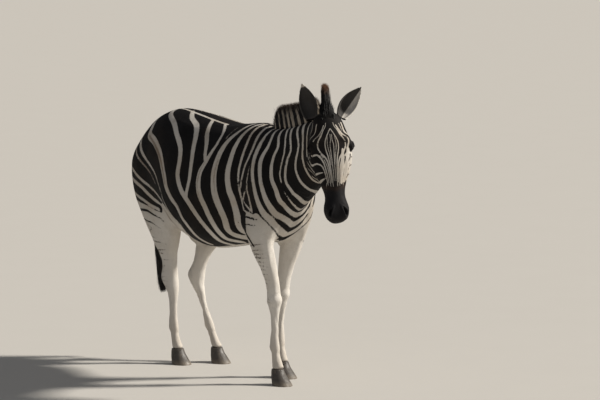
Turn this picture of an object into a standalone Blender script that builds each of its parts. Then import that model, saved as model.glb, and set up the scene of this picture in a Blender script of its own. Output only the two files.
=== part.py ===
"""A life-size standing plains zebra, modelled whole and parted into named nodes by thin cuts.

Frame: metres, +Z up, the animal faces -Y, so its right side is at -X. The origin is on the
ground, at the centre of the bounding box.
"""

from math import cos, pi, radians, sin

import bmesh
import bpy
import numpy as np
from mathutils import Matrix, Vector

# ---- driving dimensions ----------------------------------------------------------------
WITHERS_HEIGHT = 1.318
CROUP_HEIGHT = 1.345
BACK_HEIGHT = 1.288
BELLY_HEIGHT = 0.626
BRISKET_HEIGHT = 0.705
CROUP_Y = 0.280
CHEST_FRONT_Y = -0.680
BARREL_HALF_WIDTH = 0.275
CHEST_HALF_WIDTH = 0.174
HIP_HALF_WIDTH = 0.222

POLL = Vector((-0.062, -0.992, 1.385))
HEAD_LENGTH = 0.545
HEAD_YAW = radians(-29.0)
HEAD_PITCH = radians(-15.0)
HEAD_ROLL = radians(-4.0)
EYE_RADIUS = 0.0205
EYE_DEPTH = 0.166
EYE_SPREAD = 0.0895
EAR_LENGTH = 0.185
EAR_WIDTH = 0.070
EAR_SPREAD = 0.073
EAR_WALL = 0.007

KNEE_HEIGHT = 0.430
HOCK_HEIGHT = 0.430
FETLOCK_HEIGHT = 0.190
HOOF_HEIGHT = 0.078
HOOF_TOE_SLOPE = 0.030

MANE_HEIGHT = 0.138
MANE_HALF_BASE = 0.024
MANE_HALF_TOP = 0.010
FORELOCK_HEIGHT = 0.165
TAIL_END_HEIGHT = 0.330
TAIL_TUFT_TOP = 0.800

GAP = 0.0004
VOXEL = 0.0125
BODY_TRIANGLES = 5100
RING = 24

# Where the thin cuts part the body.
FORELEG_CUT_Z = 0.662
HINDLEG_CUT_Z = 0.612
FORELEG_BACK_Y = -0.30
HINDLEG_FRONT_Y = -0.05
NECK_CUT = (Vector((0.0, -0.610, 1.05)), Vector((-0.04, -0.86, 0.50)))
HEAD_CUT = (Vector((0.0, 0.080, -0.02)), Vector((0.0, -0.86, -0.50)))
HEAD_CUT_REACH = 0.60
RUMP_CUT = (Vector((0.0, 0.175, 0.70)), Vector((0.0, 0.98, 0.16)))

COAT = {
    "trunk": (0.32, 0.29, 0.25),
    "hindquarters": (0.30, 0.27, 0.23),
    "neck": (0.30, 0.27, 0.24),
    "head": (0.34, 0.31, 0.28),
    "ear": (0.42, 0.38, 0.34),
    "leg": (0.62, 0.58, 0.52),
    "mane": (0.14, 0.11, 0.09),
    "tail": (0.45, 0.42, 0.38),
}
HORN = (0.055, 0.048, 0.042)
EYE = (0.012, 0.009, 0.008)


# ---- small tools -----------------------------------------------------------------------
def through(rows, steps):
    """Points on a smooth curve through the rows, with a number of steps between each two."""
    rows = np.array(rows, dtype=float)
    padded = np.vstack([2 * rows[0] - rows[1], rows, 2 * rows[-1] - rows[-2]])
    out = []
    for i in range(len(rows) - 1):
        a, b, c, d = padded[i:i + 4]
        for k in range(steps):
            t = k / steps
            out.append(0.5 * (2 * b + (c - a) * t + (2 * a - 5 * b + 4 * c - d) * t ** 2
                              + (3 * b - a - 3 * c + d) * t ** 3))
    out.append(rows[-1])
    return out


def oval(centre, side, up, half_width, above, below, fullness=2.0, count=RING):
    """A closed ring: an oval of its own half width, reach above and reach below."""
    ring = []
    for k in range(count):
        angle = 2 * pi * k / count
        c, s = cos(angle), sin(angle)
        across = half_width * np.sign(c) * abs(c) ** (2 / fullness)
        reach = above if s > 0 else below
        ring.append(Vector(centre) + side * across + up * (reach * np.sign(s) * abs(s) ** (2 / fullness)))
    return ring


def loft(rings):
    """A closed mesh over rings of equal counts, with a flat face over each end."""
    bm = bmesh.new()
    loops = [[bm.verts.new(point) for point in ring] for ring in rings]
    count = len(loops[0])
    for one, two in zip(loops, loops[1:]):
        for k in range(count):
            bm.faces.new((one[k], one[(k + 1) % count], two[(k + 1) % count], two[k]))
    for loop in (loops[0], loops[-1]):
        bm.faces.new(loop)
    bmesh.ops.recalc_face_normals(bm, faces=bm.faces)
    return bm


def finish(bm, name):
    mesh = bpy.data.meshes.new(name)
    bm.to_mesh(mesh)
    bm.free()
    obj = bpy.data.objects.new(name, mesh)
    bpy.context.collection.objects.link(obj)
    return obj


def evaluated(obj, name):
    """A new object with the modifiers of the given one applied; the given one is removed."""
    graph = bpy.context.evaluated_depsgraph_get()
    mesh = bpy.data.meshes.new_from_object(obj.evaluated_get(graph))
    bpy.data.objects.remove(obj)
    out = bpy.data.objects.new(name, mesh)
    bpy.context.collection.objects.link(out)
    return out


def copy_of(obj, name):
    out = bpy.data.objects.new(name, obj.data.copy())
    bpy.context.collection.objects.link(out)
    return out


def boolean(obj, cutter, operation, keep_cutter=False):
    name = obj.name
    cut = obj.modifiers.new("cut", "BOOLEAN")
    cut.operation = operation
    cut.object = cutter
    obj.name = name + "_uncut"
    out = evaluated(obj, name)
    if not keep_cutter:
        bpy.data.objects.remove(cutter)
    return out


def fattened(obj, by):
    """A copy of the object whose surface stands out by a small distance."""
    out = copy_of(obj, obj.name + "_fat")
    bm = bmesh.new()
    bm.from_mesh(out.data)
    bm.normal_update()
    for v in bm.verts:
        v.co += v.normal * by
    bm.to_mesh(out.data)
    bm.free()
    return out


def painted(obj, colour, roughness=0.7):
    material = bpy.data.materials.new(obj.name)
    material.use_nodes = True
    shader = material.node_tree.nodes["Principled BSDF"]
    shader.inputs["Base Color"].default_value = (*colour, 1.0)
    shader.inputs["Roughness"].default_value = roughness
    shader.inputs["Metallic"].default_value = 0.0
    obj.data.materials.clear()
    obj.data.materials.append(material)
    return obj


def half_space(point, normal, reach):
    """A big box whose one face lies on the plane, on the side that the normal points to."""
    bm = bmesh.new()
    bmesh.ops.create_cube(bm, size=2 * reach)
    turn = Vector((0, 0, 1)).rotation_difference(normal.normalized()).to_matrix().to_4x4()
    place = Matrix.Translation(point + normal.normalized() * reach)
    bmesh.ops.transform(bm, matrix=place @ turn, verts=bm.verts)
    return finish(bm, "half_space")


def box(low, high):
    bm = bmesh.new()
    bmesh.ops.create_cube(bm, size=1.0)
    size = [b - a for a, b in zip(low, high)]
    middle = [(a + b) / 2 for a, b in zip(low, high)]
    bmesh.ops.transform(bm, matrix=Matrix.Translation(middle) @ Matrix.Diagonal((*size, 1)), verts=bm.verts)
    return finish(bm, "box")


def grown(low, high):
    return [a - GAP for a in low], [b + GAP for b in high]


# ---- the masses of the body ------------------------------------------------------------
X, Y, Z = Vector((1, 0, 0)), Vector((0, 1, 0)), Vector((0, 0, 1))


def trunk():
    """The barrel from chest to rump; rows are y, top, bottom, half width, fullness."""
    rows = [
        (CHEST_FRONT_Y, 1.060, 0.870, 0.080, 2.0),
        (CHEST_FRONT_Y + 0.05, 1.170, 0.780, 0.140, 2.1),
        (-0.540, 1.258, BRISKET_HEIGHT + 0.010, CHEST_HALF_WIDTH, 2.2),
        (-0.440, WITHERS_HEIGHT - 0.008, BRISKET_HEIGHT - 0.012, CHEST_HALF_WIDTH + 0.026, 2.2),
        (-0.330, WITHERS_HEIGHT - 0.014, 0.674, 0.230, 2.2),
        (-0.190, BACK_HEIGHT, 0.648, 0.258, 2.15),
        (-0.050, BACK_HEIGHT + 0.018, BELLY_HEIGHT, BARREL_HALF_WIDTH, 2.1),
        (0.070, BACK_HEIGHT + 0.034, BELLY_HEIGHT + 0.018, BARREL_HALF_WIDTH, 2.1),
        (0.180, CROUP_HEIGHT - 0.012, 0.694, 0.258, 2.1),
        (CROUP_Y, CROUP_HEIGHT, 0.756, 0.236, 2.1),
        (0.390, CROUP_HEIGHT - 0.026, 0.815, 0.206, 2.1),
        (0.490, CROUP_HEIGHT - 0.078, 0.855, 0.164, 2.1),
        (0.570, 1.185, 0.910, 0.108, 2.0),
    ]
    rings = []
    for y, top, bottom, half, fullness in through(rows, 3):
        middle = bottom + (top - bottom) * 0.46
        rings.append(oval((0, y, middle), X, Z, half, top - middle, middle - bottom, fullness))
    return loft(rings)


def croup(side):
    """The muscle over the hip down the back of the thigh; rows are x, y, z, half width, half length."""
    rows = [
        (0.058, 0.310, 1.275, 0.046, 0.080),
        (0.100, 0.340, 1.190, 0.080, 0.150),
        (0.122, 0.358, 1.080, HIP_HALF_WIDTH - 0.122, 0.198),
        (0.130, 0.350, 0.960, 0.098, 0.205),
        (0.130, 0.328, 0.860, 0.096, 0.192),
        (0.125, 0.318, 0.770, 0.082, 0.158),
        (0.118, 0.312, 0.690, 0.066, 0.120),
        (0.110, 0.306, 0.625, 0.054, 0.090),
    ]
    return loft([oval((side * x, y, z), X, -Y, w, l, l, 2.1) for x, y, z, w, l in through(rows, 3)])


def shoulder(side):
    """The shoulder blade and upper arm over the ribs; the right one is carried further forward."""
    ahead = 0.036 if side < 0 else 0.010
    rows = [
        (0.075, -0.430, 1.230, 0.058, 0.075),
        (0.112, -0.470, 1.130, 0.072, 0.115),
        (0.122, -0.505, 1.000, 0.076, 0.128),
        (0.120, -0.512, 0.900, 0.072, 0.116),
        (0.114, -0.500, 0.810, 0.068, 0.105),
        (0.105, -0.480, 0.730, 0.060, 0.092),
    ]
    return loft([oval((side * x, y - ahead, z), X, -Y, w, l, l, 2.1) for x, y, z, w, l in through(rows, 3)])


# Leg sections: height, half width, half length fore and aft.
FORELEG_SECTIONS = [
    (0.820, 0.062, 0.100), (0.740, 0.058, 0.088), (0.665, 0.052, 0.068), (0.590, 0.043, 0.054),
    (0.520, 0.037, 0.044), (0.468, 0.037, 0.040), (KNEE_HEIGHT, 0.041, 0.043), (0.388, 0.034, 0.036),
    (0.340, 0.0235, 0.028), (0.260, 0.0220, 0.0265), (0.218, 0.0265, 0.031),
    (FETLOCK_HEIGHT, 0.0300, 0.0350), (0.150, 0.0255, 0.0280), (0.112, 0.0290, 0.0320),
    (HOOF_HEIGHT, 0.0370, 0.0420),
]
HINDLEG_SECTIONS = [
    (0.820, 0.050, 0.085), (0.740, 0.062, 0.112), (0.640, 0.054, 0.090), (0.570, 0.043, 0.060),
    (0.500, 0.037, 0.047),
    (HOCK_HEIGHT, 0.038, 0.046), (0.390, 0.035, 0.040), (0.352, 0.028, 0.033),
    (0.310, 0.0235, 0.029), (0.250, 0.0230, 0.028), (0.215, 0.0275, 0.033),
    (FETLOCK_HEIGHT, 0.0300, 0.0360), (0.150, 0.0255, 0.0285), (0.112, 0.0290, 0.0320),
    (HOOF_HEIGHT, 0.0365, 0.0415),
]

# Leg routes: the middle of the leg, x, y, z from the top down to the hoof.
FORELEG_ROUTES = {
    "right": [(-0.125, -0.500, 0.82), (-0.115, -0.545, 0.67), (-0.093, -0.578, 0.55),
              (-0.080, -0.592, KNEE_HEIGHT), (-0.079, -0.594, 0.30), (-0.080, -0.594, FETLOCK_HEIGHT),
              (-0.080, -0.622, HOOF_HEIGHT)],
    "left": [(0.125, -0.480, 0.82), (0.116, -0.470, 0.67), (0.094, -0.455, 0.55),
             (0.080, -0.446, KNEE_HEIGHT), (0.079, -0.434, 0.30), (0.079, -0.426, FETLOCK_HEIGHT),
             (0.079, -0.452, HOOF_HEIGHT)],
}
HINDLEG_ROUTES = {
    "right": [(-0.128, 0.318, 0.82), (-0.130, 0.312, 0.72), (-0.116, 0.308, 0.64), (-0.100, 0.296, 0.54),
              (-0.092, 0.288, HOCK_HEIGHT), (-0.090, 0.276, 0.36), (-0.092, 0.270, FETLOCK_HEIGHT),
              (-0.092, 0.234, HOOF_HEIGHT)],
    "left": [(0.130, 0.290, 0.82), (0.138, 0.250, 0.72), (0.131, 0.252, 0.64), (0.108, 0.294, 0.54),
             (0.094, 0.314, HOCK_HEIGHT), (0.090, 0.286, 0.36), (0.093, 0.205, FETLOCK_HEIGHT),
             (0.097, 0.143, HOOF_HEIGHT)],
}


def at_height(rows, z):
    """The row at a height, read from a smooth curve through rows that hold it in their column 2."""
    dense = np.array(through(rows, 8))[::-1]
    return [np.interp(z, dense[:, 2], dense[:, k]) for k in range(2)]


def leg(sections, route, heel):
    """A leg down its route; the heel pushes the section's middle back at the joint's height."""
    rings = []
    for z, half_width, half_length in through(sections, 3):
        x, y = at_height(route, z)
        point, reach, spread = heel
        back = reach * np.exp(-((z - point) / spread) ** 2)
        rings.append(oval((x, y, z), X, -Y, half_width, half_length, half_length + back, 2.2, 20))
    return loft(rings)


def neck():
    """The neck from inside the shoulders to the poll; rows are x, y, z, half width, depth above, below."""
    rows = [
        (0.000, -0.330, 1.020, 0.130, 0.260, 0.240),
        (-0.002, -0.480, 1.060, 0.150, 0.235, 0.250),
        (-0.008, -0.620, 1.105, 0.128, 0.196, 0.240),
        (-0.022, -0.760, 1.155, 0.100, 0.168, 0.200),
        (-0.038, -0.890, 1.210, 0.082, 0.148, 0.158),
        (-0.060, -0.975, 1.262, 0.068, 0.120, 0.120),
    ]
    points = through(rows, 4)
    rings = []
    for i, row in enumerate(points):
        ahead = points[min(i + 1, len(points) - 1)][:3] - points[max(i - 1, 0)][:3]
        ahead = Vector(ahead).normalized()
        side = ahead.cross(Z).normalized()
        up = side.cross(ahead).normalized()
        rings.append(oval(row[:3], side, up, row[3], row[4], row[5], 2.05))
    return loft(rings)


# ---- the head, in its own frame: poll at the origin, face towards -Y, muzzle towards -Z ------
HEAD_TURN = (Matrix.Rotation(HEAD_YAW, 4, "Z") @ Matrix.Rotation(HEAD_ROLL, 4, "Y")
             @ Matrix.Rotation(HEAD_PITCH, 4, "X"))
HEAD_FRAME = Matrix.Translation(POLL) @ HEAD_TURN


def head():
    """Rows are depth below the poll, reach of the face, reach of the jaw, half width, fullness."""
    rows = [
        (-0.012, 0.030, 0.080, 0.046, 2.0),
        (0.030, 0.052, 0.125, 0.072, 2.1),
        (0.090, 0.064, 0.165, 0.088, 2.2),
        (EYE_DEPTH - 0.012, 0.066, 0.190, 0.097, 2.3),
        (0.220, 0.060, 0.188, 0.099, 2.3),
        (0.285, 0.052, 0.152, 0.085, 2.3),
        (0.350, 0.045, 0.108, 0.060, 2.3),
        (0.405, 0.042, 0.086, 0.048, 2.3),
        (0.455, 0.044, 0.086, 0.055, 2.3),
        (0.500, 0.040, 0.086, 0.055, 2.4),
        (0.530, 0.026, 0.074, 0.046, 2.4),
        (HEAD_LENGTH, 0.006, 0.050, 0.028, 2.2),
    ]
    rings = []
    for depth, face, jaw, half, fullness in through(rows, 3):
        rings.append(oval((0, 0, -depth), X, -Y, half, face, jaw, fullness))
    return loft(rings)


def ball(centre, radius, stretch=(1, 1, 1), segments=16, rings=10):
    bm = bmesh.new()
    bmesh.ops.create_uvsphere(bm, u_segments=segments, v_segments=rings, radius=radius)
    bmesh.ops.transform(bm, matrix=Matrix.Translation(centre) @ Matrix.Diagonal((*stretch, 1)), verts=bm.verts)
    return bm


def head_features():
    """Brow, jaw angle, nostril wing and chin: swellings that the plain sections lack."""
    out = []
    for side in (-1, 1):
        out.append(ball((side * 0.076, -0.028, -EYE_DEPTH + 0.022), 0.030, (1.0, 0.85, 0.85)))
        out.append(ball((side * 0.045, 0.105, -0.215), 0.078, (0.62, 0.95, 1.30)))
        out.append(ball((side * 0.040, -0.014, -0.478), 0.026, (0.95, 0.95, 1.15)))
    out.append(ball((0, 0.052, -0.512), 0.036, (1.05, 0.9, 0.85)))
    return out


EYE_PLACES = {side: Vector((sign * EYE_SPREAD, -0.020, -EYE_DEPTH)) for side, sign in
              (("right", -1), ("left", 1))}


def ear(side, lean, twist):
    """A scooped ear: crescent sections from base to tip, leaning outwards and turned on its axis."""
    sign = -1 if side == "right" else 1
    rings = []
    steps = 9
    for i in range(steps + 1):
        t = i / steps
        half = EAR_WIDTH / 2 * (0.62 + 0.60 * sin(pi * t ** 0.85)) * (1 - t ** 5) + 0.004
        depth = half * (1.05 - 0.55 * t)
        opening = radians(105 - 10 * t)
        wall = min(EAR_WALL * (1.25 - 0.7 * t), 0.55 * half)
        lean_back = 0.020 * sin(pi * t)
        rise = t * EAR_LENGTH
        outer, inner = [], []
        for k in range(7):
            angle = -opening + 2 * opening * k / 6
            outer.append(Vector((half * sin(angle), depth * cos(angle) + lean_back, rise)))
            inner.append(Vector(((half - wall) * sin(angle), (depth - wall) * cos(angle) + lean_back, rise)))
        rings.append(outer + inner[::-1])
    bm = loft(rings)
    turn = Matrix.Rotation(sign * lean, 4, "Y") @ Matrix.Rotation(sign * twist, 4, "Z")
    place = Matrix.Translation((sign * EAR_SPREAD, 0.030, -0.014)) @ turn
    bmesh.ops.transform(bm, matrix=HEAD_FRAME @ place, verts=bm.verts)
    bmesh.ops.recalc_face_normals(bm, faces=bm.faces)
    return finish(bm, f"ear_{side}")


# ---- hair ------------------------------------------------------------------------------
def mane():
    """An upright blade from the withers to the poll, along the crest of the neck."""
    rows = [
        (-0.003, -0.510, 1.286, 0.030, MANE_HALF_BASE),
        (-0.006, -0.538, 1.288, 0.100, MANE_HALF_BASE),
        (-0.010, -0.580, 1.292, 0.132, MANE_HALF_BASE),
        (-0.014, -0.660, 1.302, MANE_HEIGHT, MANE_HALF_BASE),
        (-0.020, -0.750, 1.318, MANE_HEIGHT, MANE_HALF_BASE),
        (-0.028, -0.850, 1.342, MANE_HEIGHT, MANE_HALF_BASE * 0.80),
        (-0.042, -0.945, 1.366, MANE_HEIGHT, MANE_HALF_BASE * 0.60),
    ]
    points = through(rows, 2)
    rings = []
    for i, (x, y, z, tall, base) in enumerate(points):
        ahead = Vector(points[min(i + 1, len(points) - 1)][:3] - points[max(i - 1, 0)][:3]).normalized()
        side = ahead.cross(Z).normalized()
        up = side.cross(ahead).normalized()
        foot = Vector((x, y, z)) - up * 0.035
        ring = []
        for across, rise in ((-base, 0.0), (-base, 0.035 + tall * 0.3),
                             (-MANE_HALF_TOP, 0.035 + tall * 0.92), (0, 0.035 + tall),
                             (MANE_HALF_TOP, 0.035 + tall * 0.92), (base, 0.035 + tall * 0.3),
                             (base, 0.0)):
            ring.append(foot + side * across + up * rise)
        rings.append(ring)
    return finish(loft(rings), "mane")


def forelock():
    """The tall tuft between the ears, rooted on the forehead below the poll."""
    rows = [
        (-0.020, 0.010, 0.013, 0.020), (0.030, 0.006, 0.019, 0.030), (0.075, 0.006, 0.020, 0.034),
        (0.115, 0.010, 0.019, 0.030), (FORELOCK_HEIGHT - 0.015, 0.016, 0.015, 0.022),
        (FORELOCK_HEIGHT, 0.020, 0.006, 0.008),
    ]
    bm = loft([oval((0, back - 0.018, rise), X, -Y, w, l, l, 2.0, 12)
               for rise, back, w, l in through(rows, 2)])
    lean = Matrix.Rotation(radians(-3), 4, "Y") @ Matrix.Rotation(radians(6), 4, "X")
    bmesh.ops.transform(bm, matrix=HEAD_FRAME @ lean, verts=bm.verts)
    return finish(bm, "forelock")


TAIL_ROUTE = [(0.540, 1.215), (0.592, 1.160), (0.618, 1.060), (0.612, 0.930), (0.580, TAIL_TUFT_TOP),
              (0.536, 0.660), (0.505, 0.500), (0.494, TAIL_END_HEIGHT)]


def tail_length(name, top, bottom, rows):
    """A length of the hanging tail between two heights; rows are share, half width, half depth."""
    route = np.array(through([(y, z) for y, z in TAIL_ROUTE], 6))[::-1]
    rings = []
    for share, half_width, half_depth in through(rows, 3):
        z = top + (bottom - top) * share
        y = np.interp(z, route[:, 1], route[:, 0])
        rings.append(oval((0, y, z), X, -Y, half_width, half_depth, half_depth, 2.0, 12))
    return finish(loft(rings), name)


# ---- hooves ----------------------------------------------------------------------------
def hoof(name, route):
    """A hoof with a flat sole on the ground, its toe forward and its heel upright."""
    x, y = route[-1][:2]
    rings = []
    for z, half_width, toe, heel in through([
        (0.0, 0.0480, 0.062, 0.046), (0.020, 0.0470, 0.060, 0.046), (0.050, 0.0430, 0.053, 0.045),
        (HOOF_HEIGHT - GAP, 0.0385, 0.0445, 0.043),
    ], 1):
        slide = HOOF_TOE_SLOPE * (1 - z / HOOF_HEIGHT)
        rings.append(oval((x, y - slide, z), X, -Y, half_width, toe, heel, 2.3, 18))
    return painted(finish(loft(rings), name), HORN, 0.5)


# ---- assembly --------------------------------------------------------------------------
def flesh():
    """The whole body in one closed mesh: the masses joined, skinned by voxels and thinned."""
    joined = bmesh.new()
    parts = [trunk(), neck()]
    for sign in (-1, 1):
        parts += [croup(sign), shoulder(sign)]
    for side in ("right", "left"):
        parts.append(leg(FORELEG_SECTIONS, FORELEG_ROUTES[side], (0.400, 0.006, 0.03)))
        parts.append(leg(HINDLEG_SECTIONS, HINDLEG_ROUTES[side], (HOCK_HEIGHT + 0.018, 0.042, 0.046)))
    skull = [head(), *head_features()]
    for piece in skull:
        bmesh.ops.transform(piece, matrix=HEAD_FRAME, verts=piece.verts)
    for piece in parts + skull:
        mesh = bpy.data.meshes.new("mass")
        piece.to_mesh(mesh)
        piece.free()
        joined.from_mesh(mesh)
        bpy.data.meshes.remove(mesh)
    body = finish(joined, "masses")
    remesh = body.modifiers.new("skin", "REMESH")
    remesh.mode = "VOXEL"
    remesh.voxel_size = VOXEL
    body = evaluated(body, "skinned")
    soften(body)
    thin = body.modifiers.new("thin", "DECIMATE")
    body.data.calc_loop_triangles()
    thin.ratio = BODY_TRIANGLES / len(body.data.loop_triangles)
    thin.vertex_group = "plain"
    return evaluated(body, "body")


def soften(body):
    """Smooths the joins, more over the trunk than on the head and feet, and marks what is plain."""
    plain = body.vertex_groups.new(name="plain")
    eye_line = HEAD_FRAME @ Vector((0, 0.04, -EYE_DEPTH))
    weights = {}
    for v in body.data.vertices:
        near_head = max(0.0, 1 - max(0.0, (v.co - eye_line).length - 0.20) / 0.14)
        low = max(0.0, min(1.0, (0.62 - v.co.z) / 0.10))
        weights[v.index] = 1 - max(near_head, 0.65 * low)
    for index, weight in weights.items():
        plain.add([index], 0.85 + 0.15 * weight, "REPLACE")
    for name, group, factor, turns in (("all_over", None, 0.5, 3), ("broad", "plain", 0.6, 12)):
        smooth = body.modifiers.new(name, "SMOOTH")
        smooth.factor = factor
        smooth.iterations = turns
        if group:
            smooth.vertex_group = group
    graph = bpy.context.evaluated_depsgraph_get()
    mesh = body.evaluated_get(graph).to_mesh()
    coords = np.empty(len(mesh.vertices) * 3, dtype=np.float32)
    mesh.vertices.foreach_get("co", coords)
    body.modifiers.clear()
    body.data.vertices.foreach_set("co", coords)
    body.data.update()


def parted(body):
    """The flesh nodes, cut from the body by planes and boxes with a thin gap between them."""
    nodes = {}
    leg_boxes = {
        "foreleg_right": ((-0.6, -0.9, -0.1), (-0.0005, FORELEG_BACK_Y, FORELEG_CUT_Z)),
        "foreleg_left": ((0.0005, -0.9, -0.1), (0.6, FORELEG_BACK_Y, FORELEG_CUT_Z)),
        "hindleg_right": ((-0.6, HINDLEG_FRONT_Y, -0.1), (-0.0005, 0.9, HINDLEG_CUT_Z)),
        "hindleg_left": ((0.0005, HINDLEG_FRONT_Y, -0.1), (0.6, 0.9, HINDLEG_CUT_Z)),
    }
    for name, (low, high) in leg_boxes.items():
        nodes[name] = boolean(copy_of(body, name), box(low, high), "INTERSECT")
    for low, high in leg_boxes.values():
        body = boolean(body, box(*grown(low, high)), "DIFFERENCE")
    cuts = [
        ("head", HEAD_FRAME @ HEAD_CUT[0], HEAD_TURN.to_3x3() @ HEAD_CUT[1], HEAD_CUT_REACH),
        ("neck", *NECK_CUT, 3.0),
        ("hindquarters", *RUMP_CUT, 3.0),
    ]
    for name, point, normal, reach in cuts:
        normal = normal.normalized()
        inner = half_space(point + normal * GAP, normal, reach)
        nodes[name] = boolean(copy_of(body, name), inner, "INTERSECT")
        body = boolean(body, half_space(point, normal, reach), "DIFFERENCE")
    body.name = "trunk"
    nodes["trunk"] = body
    return nodes


def build():
    for obj in list(bpy.data.objects):
        bpy.data.objects.remove(obj)

    body = flesh()
    around = fattened(body, 3 * GAP)
    attached = {
        "mane": mane(),
        "forelock": forelock(),
        "ear_right": ear("right", radians(9), radians(24)),
        "ear_left": ear("left", radians(40), radians(14)),
        "tail": tail_length("tail", 1.205, TAIL_TUFT_TOP + GAP, [
            (0.0, 0.030, 0.024), (0.12, 0.031, 0.027), (0.5, 0.024, 0.021), (1.0, 0.020, 0.018)]),
        "tail_tuft": tail_length("tail_tuft", TAIL_TUFT_TOP, TAIL_END_HEIGHT, [
            (0.0, 0.021, 0.019), (0.2, 0.028, 0.026), (0.55, 0.036, 0.034), (0.85, 0.026, 0.024),
            (1.0, 0.008, 0.008)]),
    }
    nodes = parted(body)
    for name, obj in attached.items():
        attached[name] = boolean(obj, around, "DIFFERENCE", keep_cutter=True)
    bpy.data.objects.remove(around)
    clearance = fattened(attached["mane"], 2 * GAP)
    attached["forelock"] = boolean(attached["forelock"], clearance, "DIFFERENCE")

    for side, place in EYE_PLACES.items():
        where = HEAD_FRAME @ place
        socket = finish(ball(where, EYE_RADIUS + GAP), "socket")
        nodes["head"] = boolean(nodes["head"], socket, "DIFFERENCE")
        painted(finish(ball(where, EYE_RADIUS - 0.0002), f"eye_{side}"), EYE, 0.12)

    for name, obj in nodes.items():
        kind = "leg" if "leg" in name else name
        painted(obj, COAT[kind])
    for name, obj in attached.items():
        kind = "mane" if name == "forelock" else name.split("_")[0]
        painted(obj, COAT[kind])
    for pair, routes in (("fore", FORELEG_ROUTES), ("hind", HINDLEG_ROUTES)):
        for side, route in routes.items():
            hoof(f"hoof_{pair}_{side}", route)

    settle()


def settle():
    """Centres the model's bounding box over the origin, with the soles at the ground."""
    objects = [obj for obj in bpy.data.objects if obj.type == "MESH"]
    corners = np.array([v.co for obj in objects for v in obj.data.vertices])
    low, high = corners.min(0), corners.max(0)
    shift = Matrix.Translation((-(low[0] + high[0]) / 2, -(low[1] + high[1]) / 2, -low[2]))
    for obj in objects:
        obj.data.transform(shift)
        obj.data.update()
        print(f"{obj.name}: {len(obj.data.polygons)} faces")
    print("centred by", [round(v, 4) for v in shift.translation])


build()
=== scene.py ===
from math import cos, pi, radians, sin, sqrt

import bmesh
import bpy
import numpy as np
from mathutils import Matrix, Vector
from mathutils.bvhtree import BVHTree


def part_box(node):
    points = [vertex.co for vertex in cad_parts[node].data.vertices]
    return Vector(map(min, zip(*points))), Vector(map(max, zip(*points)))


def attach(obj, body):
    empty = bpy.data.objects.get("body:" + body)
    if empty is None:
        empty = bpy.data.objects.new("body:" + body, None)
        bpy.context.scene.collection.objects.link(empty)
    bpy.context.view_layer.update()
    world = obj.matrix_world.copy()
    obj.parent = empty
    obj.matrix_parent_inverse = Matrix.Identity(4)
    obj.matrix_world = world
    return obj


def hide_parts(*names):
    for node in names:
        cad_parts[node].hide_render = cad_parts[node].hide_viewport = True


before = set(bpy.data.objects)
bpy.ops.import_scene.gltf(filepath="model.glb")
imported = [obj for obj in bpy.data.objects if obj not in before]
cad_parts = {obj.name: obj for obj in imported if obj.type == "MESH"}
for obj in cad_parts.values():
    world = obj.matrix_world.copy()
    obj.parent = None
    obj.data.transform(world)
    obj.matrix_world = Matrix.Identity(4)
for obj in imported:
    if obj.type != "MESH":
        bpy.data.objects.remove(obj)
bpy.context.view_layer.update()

chance = np.random.default_rng(11)
print("zebra: frame loaded")


# small tools for meshes
def pieceFrom(bm, name):
    mesh = bpy.data.meshes.new(name)
    bm.to_mesh(mesh)
    bm.free()
    piece = bpy.data.objects.new(name, mesh)
    bpy.context.scene.collection.objects.link(piece)
    return piece


def settled(piece):
    # the piece with its modifiers made real
    graph = bpy.context.evaluated_depsgraph_get()
    mesh = bpy.data.meshes.new_from_object(piece.evaluated_get(graph))
    spent = piece.data
    piece.modifiers.clear()
    piece.data = mesh
    bpy.data.meshes.remove(spent)
    return piece


def spots(mesh):
    out = np.empty(len(mesh.vertices) * 3, np.float32)
    mesh.vertices.foreach_get("co", out)
    return out.reshape(-1, 3).astype(float)


def outward(mesh):
    out = np.empty(len(mesh.vertices) * 3, np.float32)
    mesh.vertex_normals.foreach_get("vector", out)
    return out.reshape(-1, 3).astype(float)


def putSpots(mesh, places):
    mesh.vertices.foreach_set("co", places.astype(np.float32).ravel())
    mesh.update()


def mergedCopy(node):
    bm = bmesh.new()
    bm.from_mesh(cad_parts[node].data)
    bmesh.ops.remove_doubles(bm, verts=bm.verts, dist=1e-5)
    return bm


def creased(bm, angle):
    # marks the sharp edges, so that rounding keeps them
    crease = bm.edges.layers.float.get("crease_edge") or bm.edges.layers.float.new("crease_edge")
    for edge in bm.edges:
        if edge.is_manifold and edge.calc_face_angle() > angle:
            edge[crease] = 1.0


def ease(low, high, value):
    # 0 below low, 1 above high, and smooth between
    t = np.clip((value - low) / (high - low), 0, 1)
    return t * t * (3 - 2 * t)


def unit(rows):
    return rows / np.maximum(np.linalg.norm(rows, axis=-1, keepdims=True), 1e-9)


def strand(points, gap):
    # points along a smooth curve through the given ones, about a gap apart
    given = np.array(points, float)
    ends = np.vstack([2 * given[0] - given[1], given, 2 * given[-1] - given[-2]])
    runs = []
    for a, b, c, d in zip(ends, ends[1:], ends[2:], ends[3:]):
        count = max(1, int(np.linalg.norm((c - b)[:3]) / gap))
        t = (np.arange(count) / count)[:, None]
        runs.append(.5 * (2 * b + (c - a) * t + (2 * a - 5 * b + 4 * c - d) * t ** 2
                          + (3 * b - a - 3 * c + d) * t ** 3))
    runs.append(given[-1:])
    return np.vstack(runs)


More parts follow.
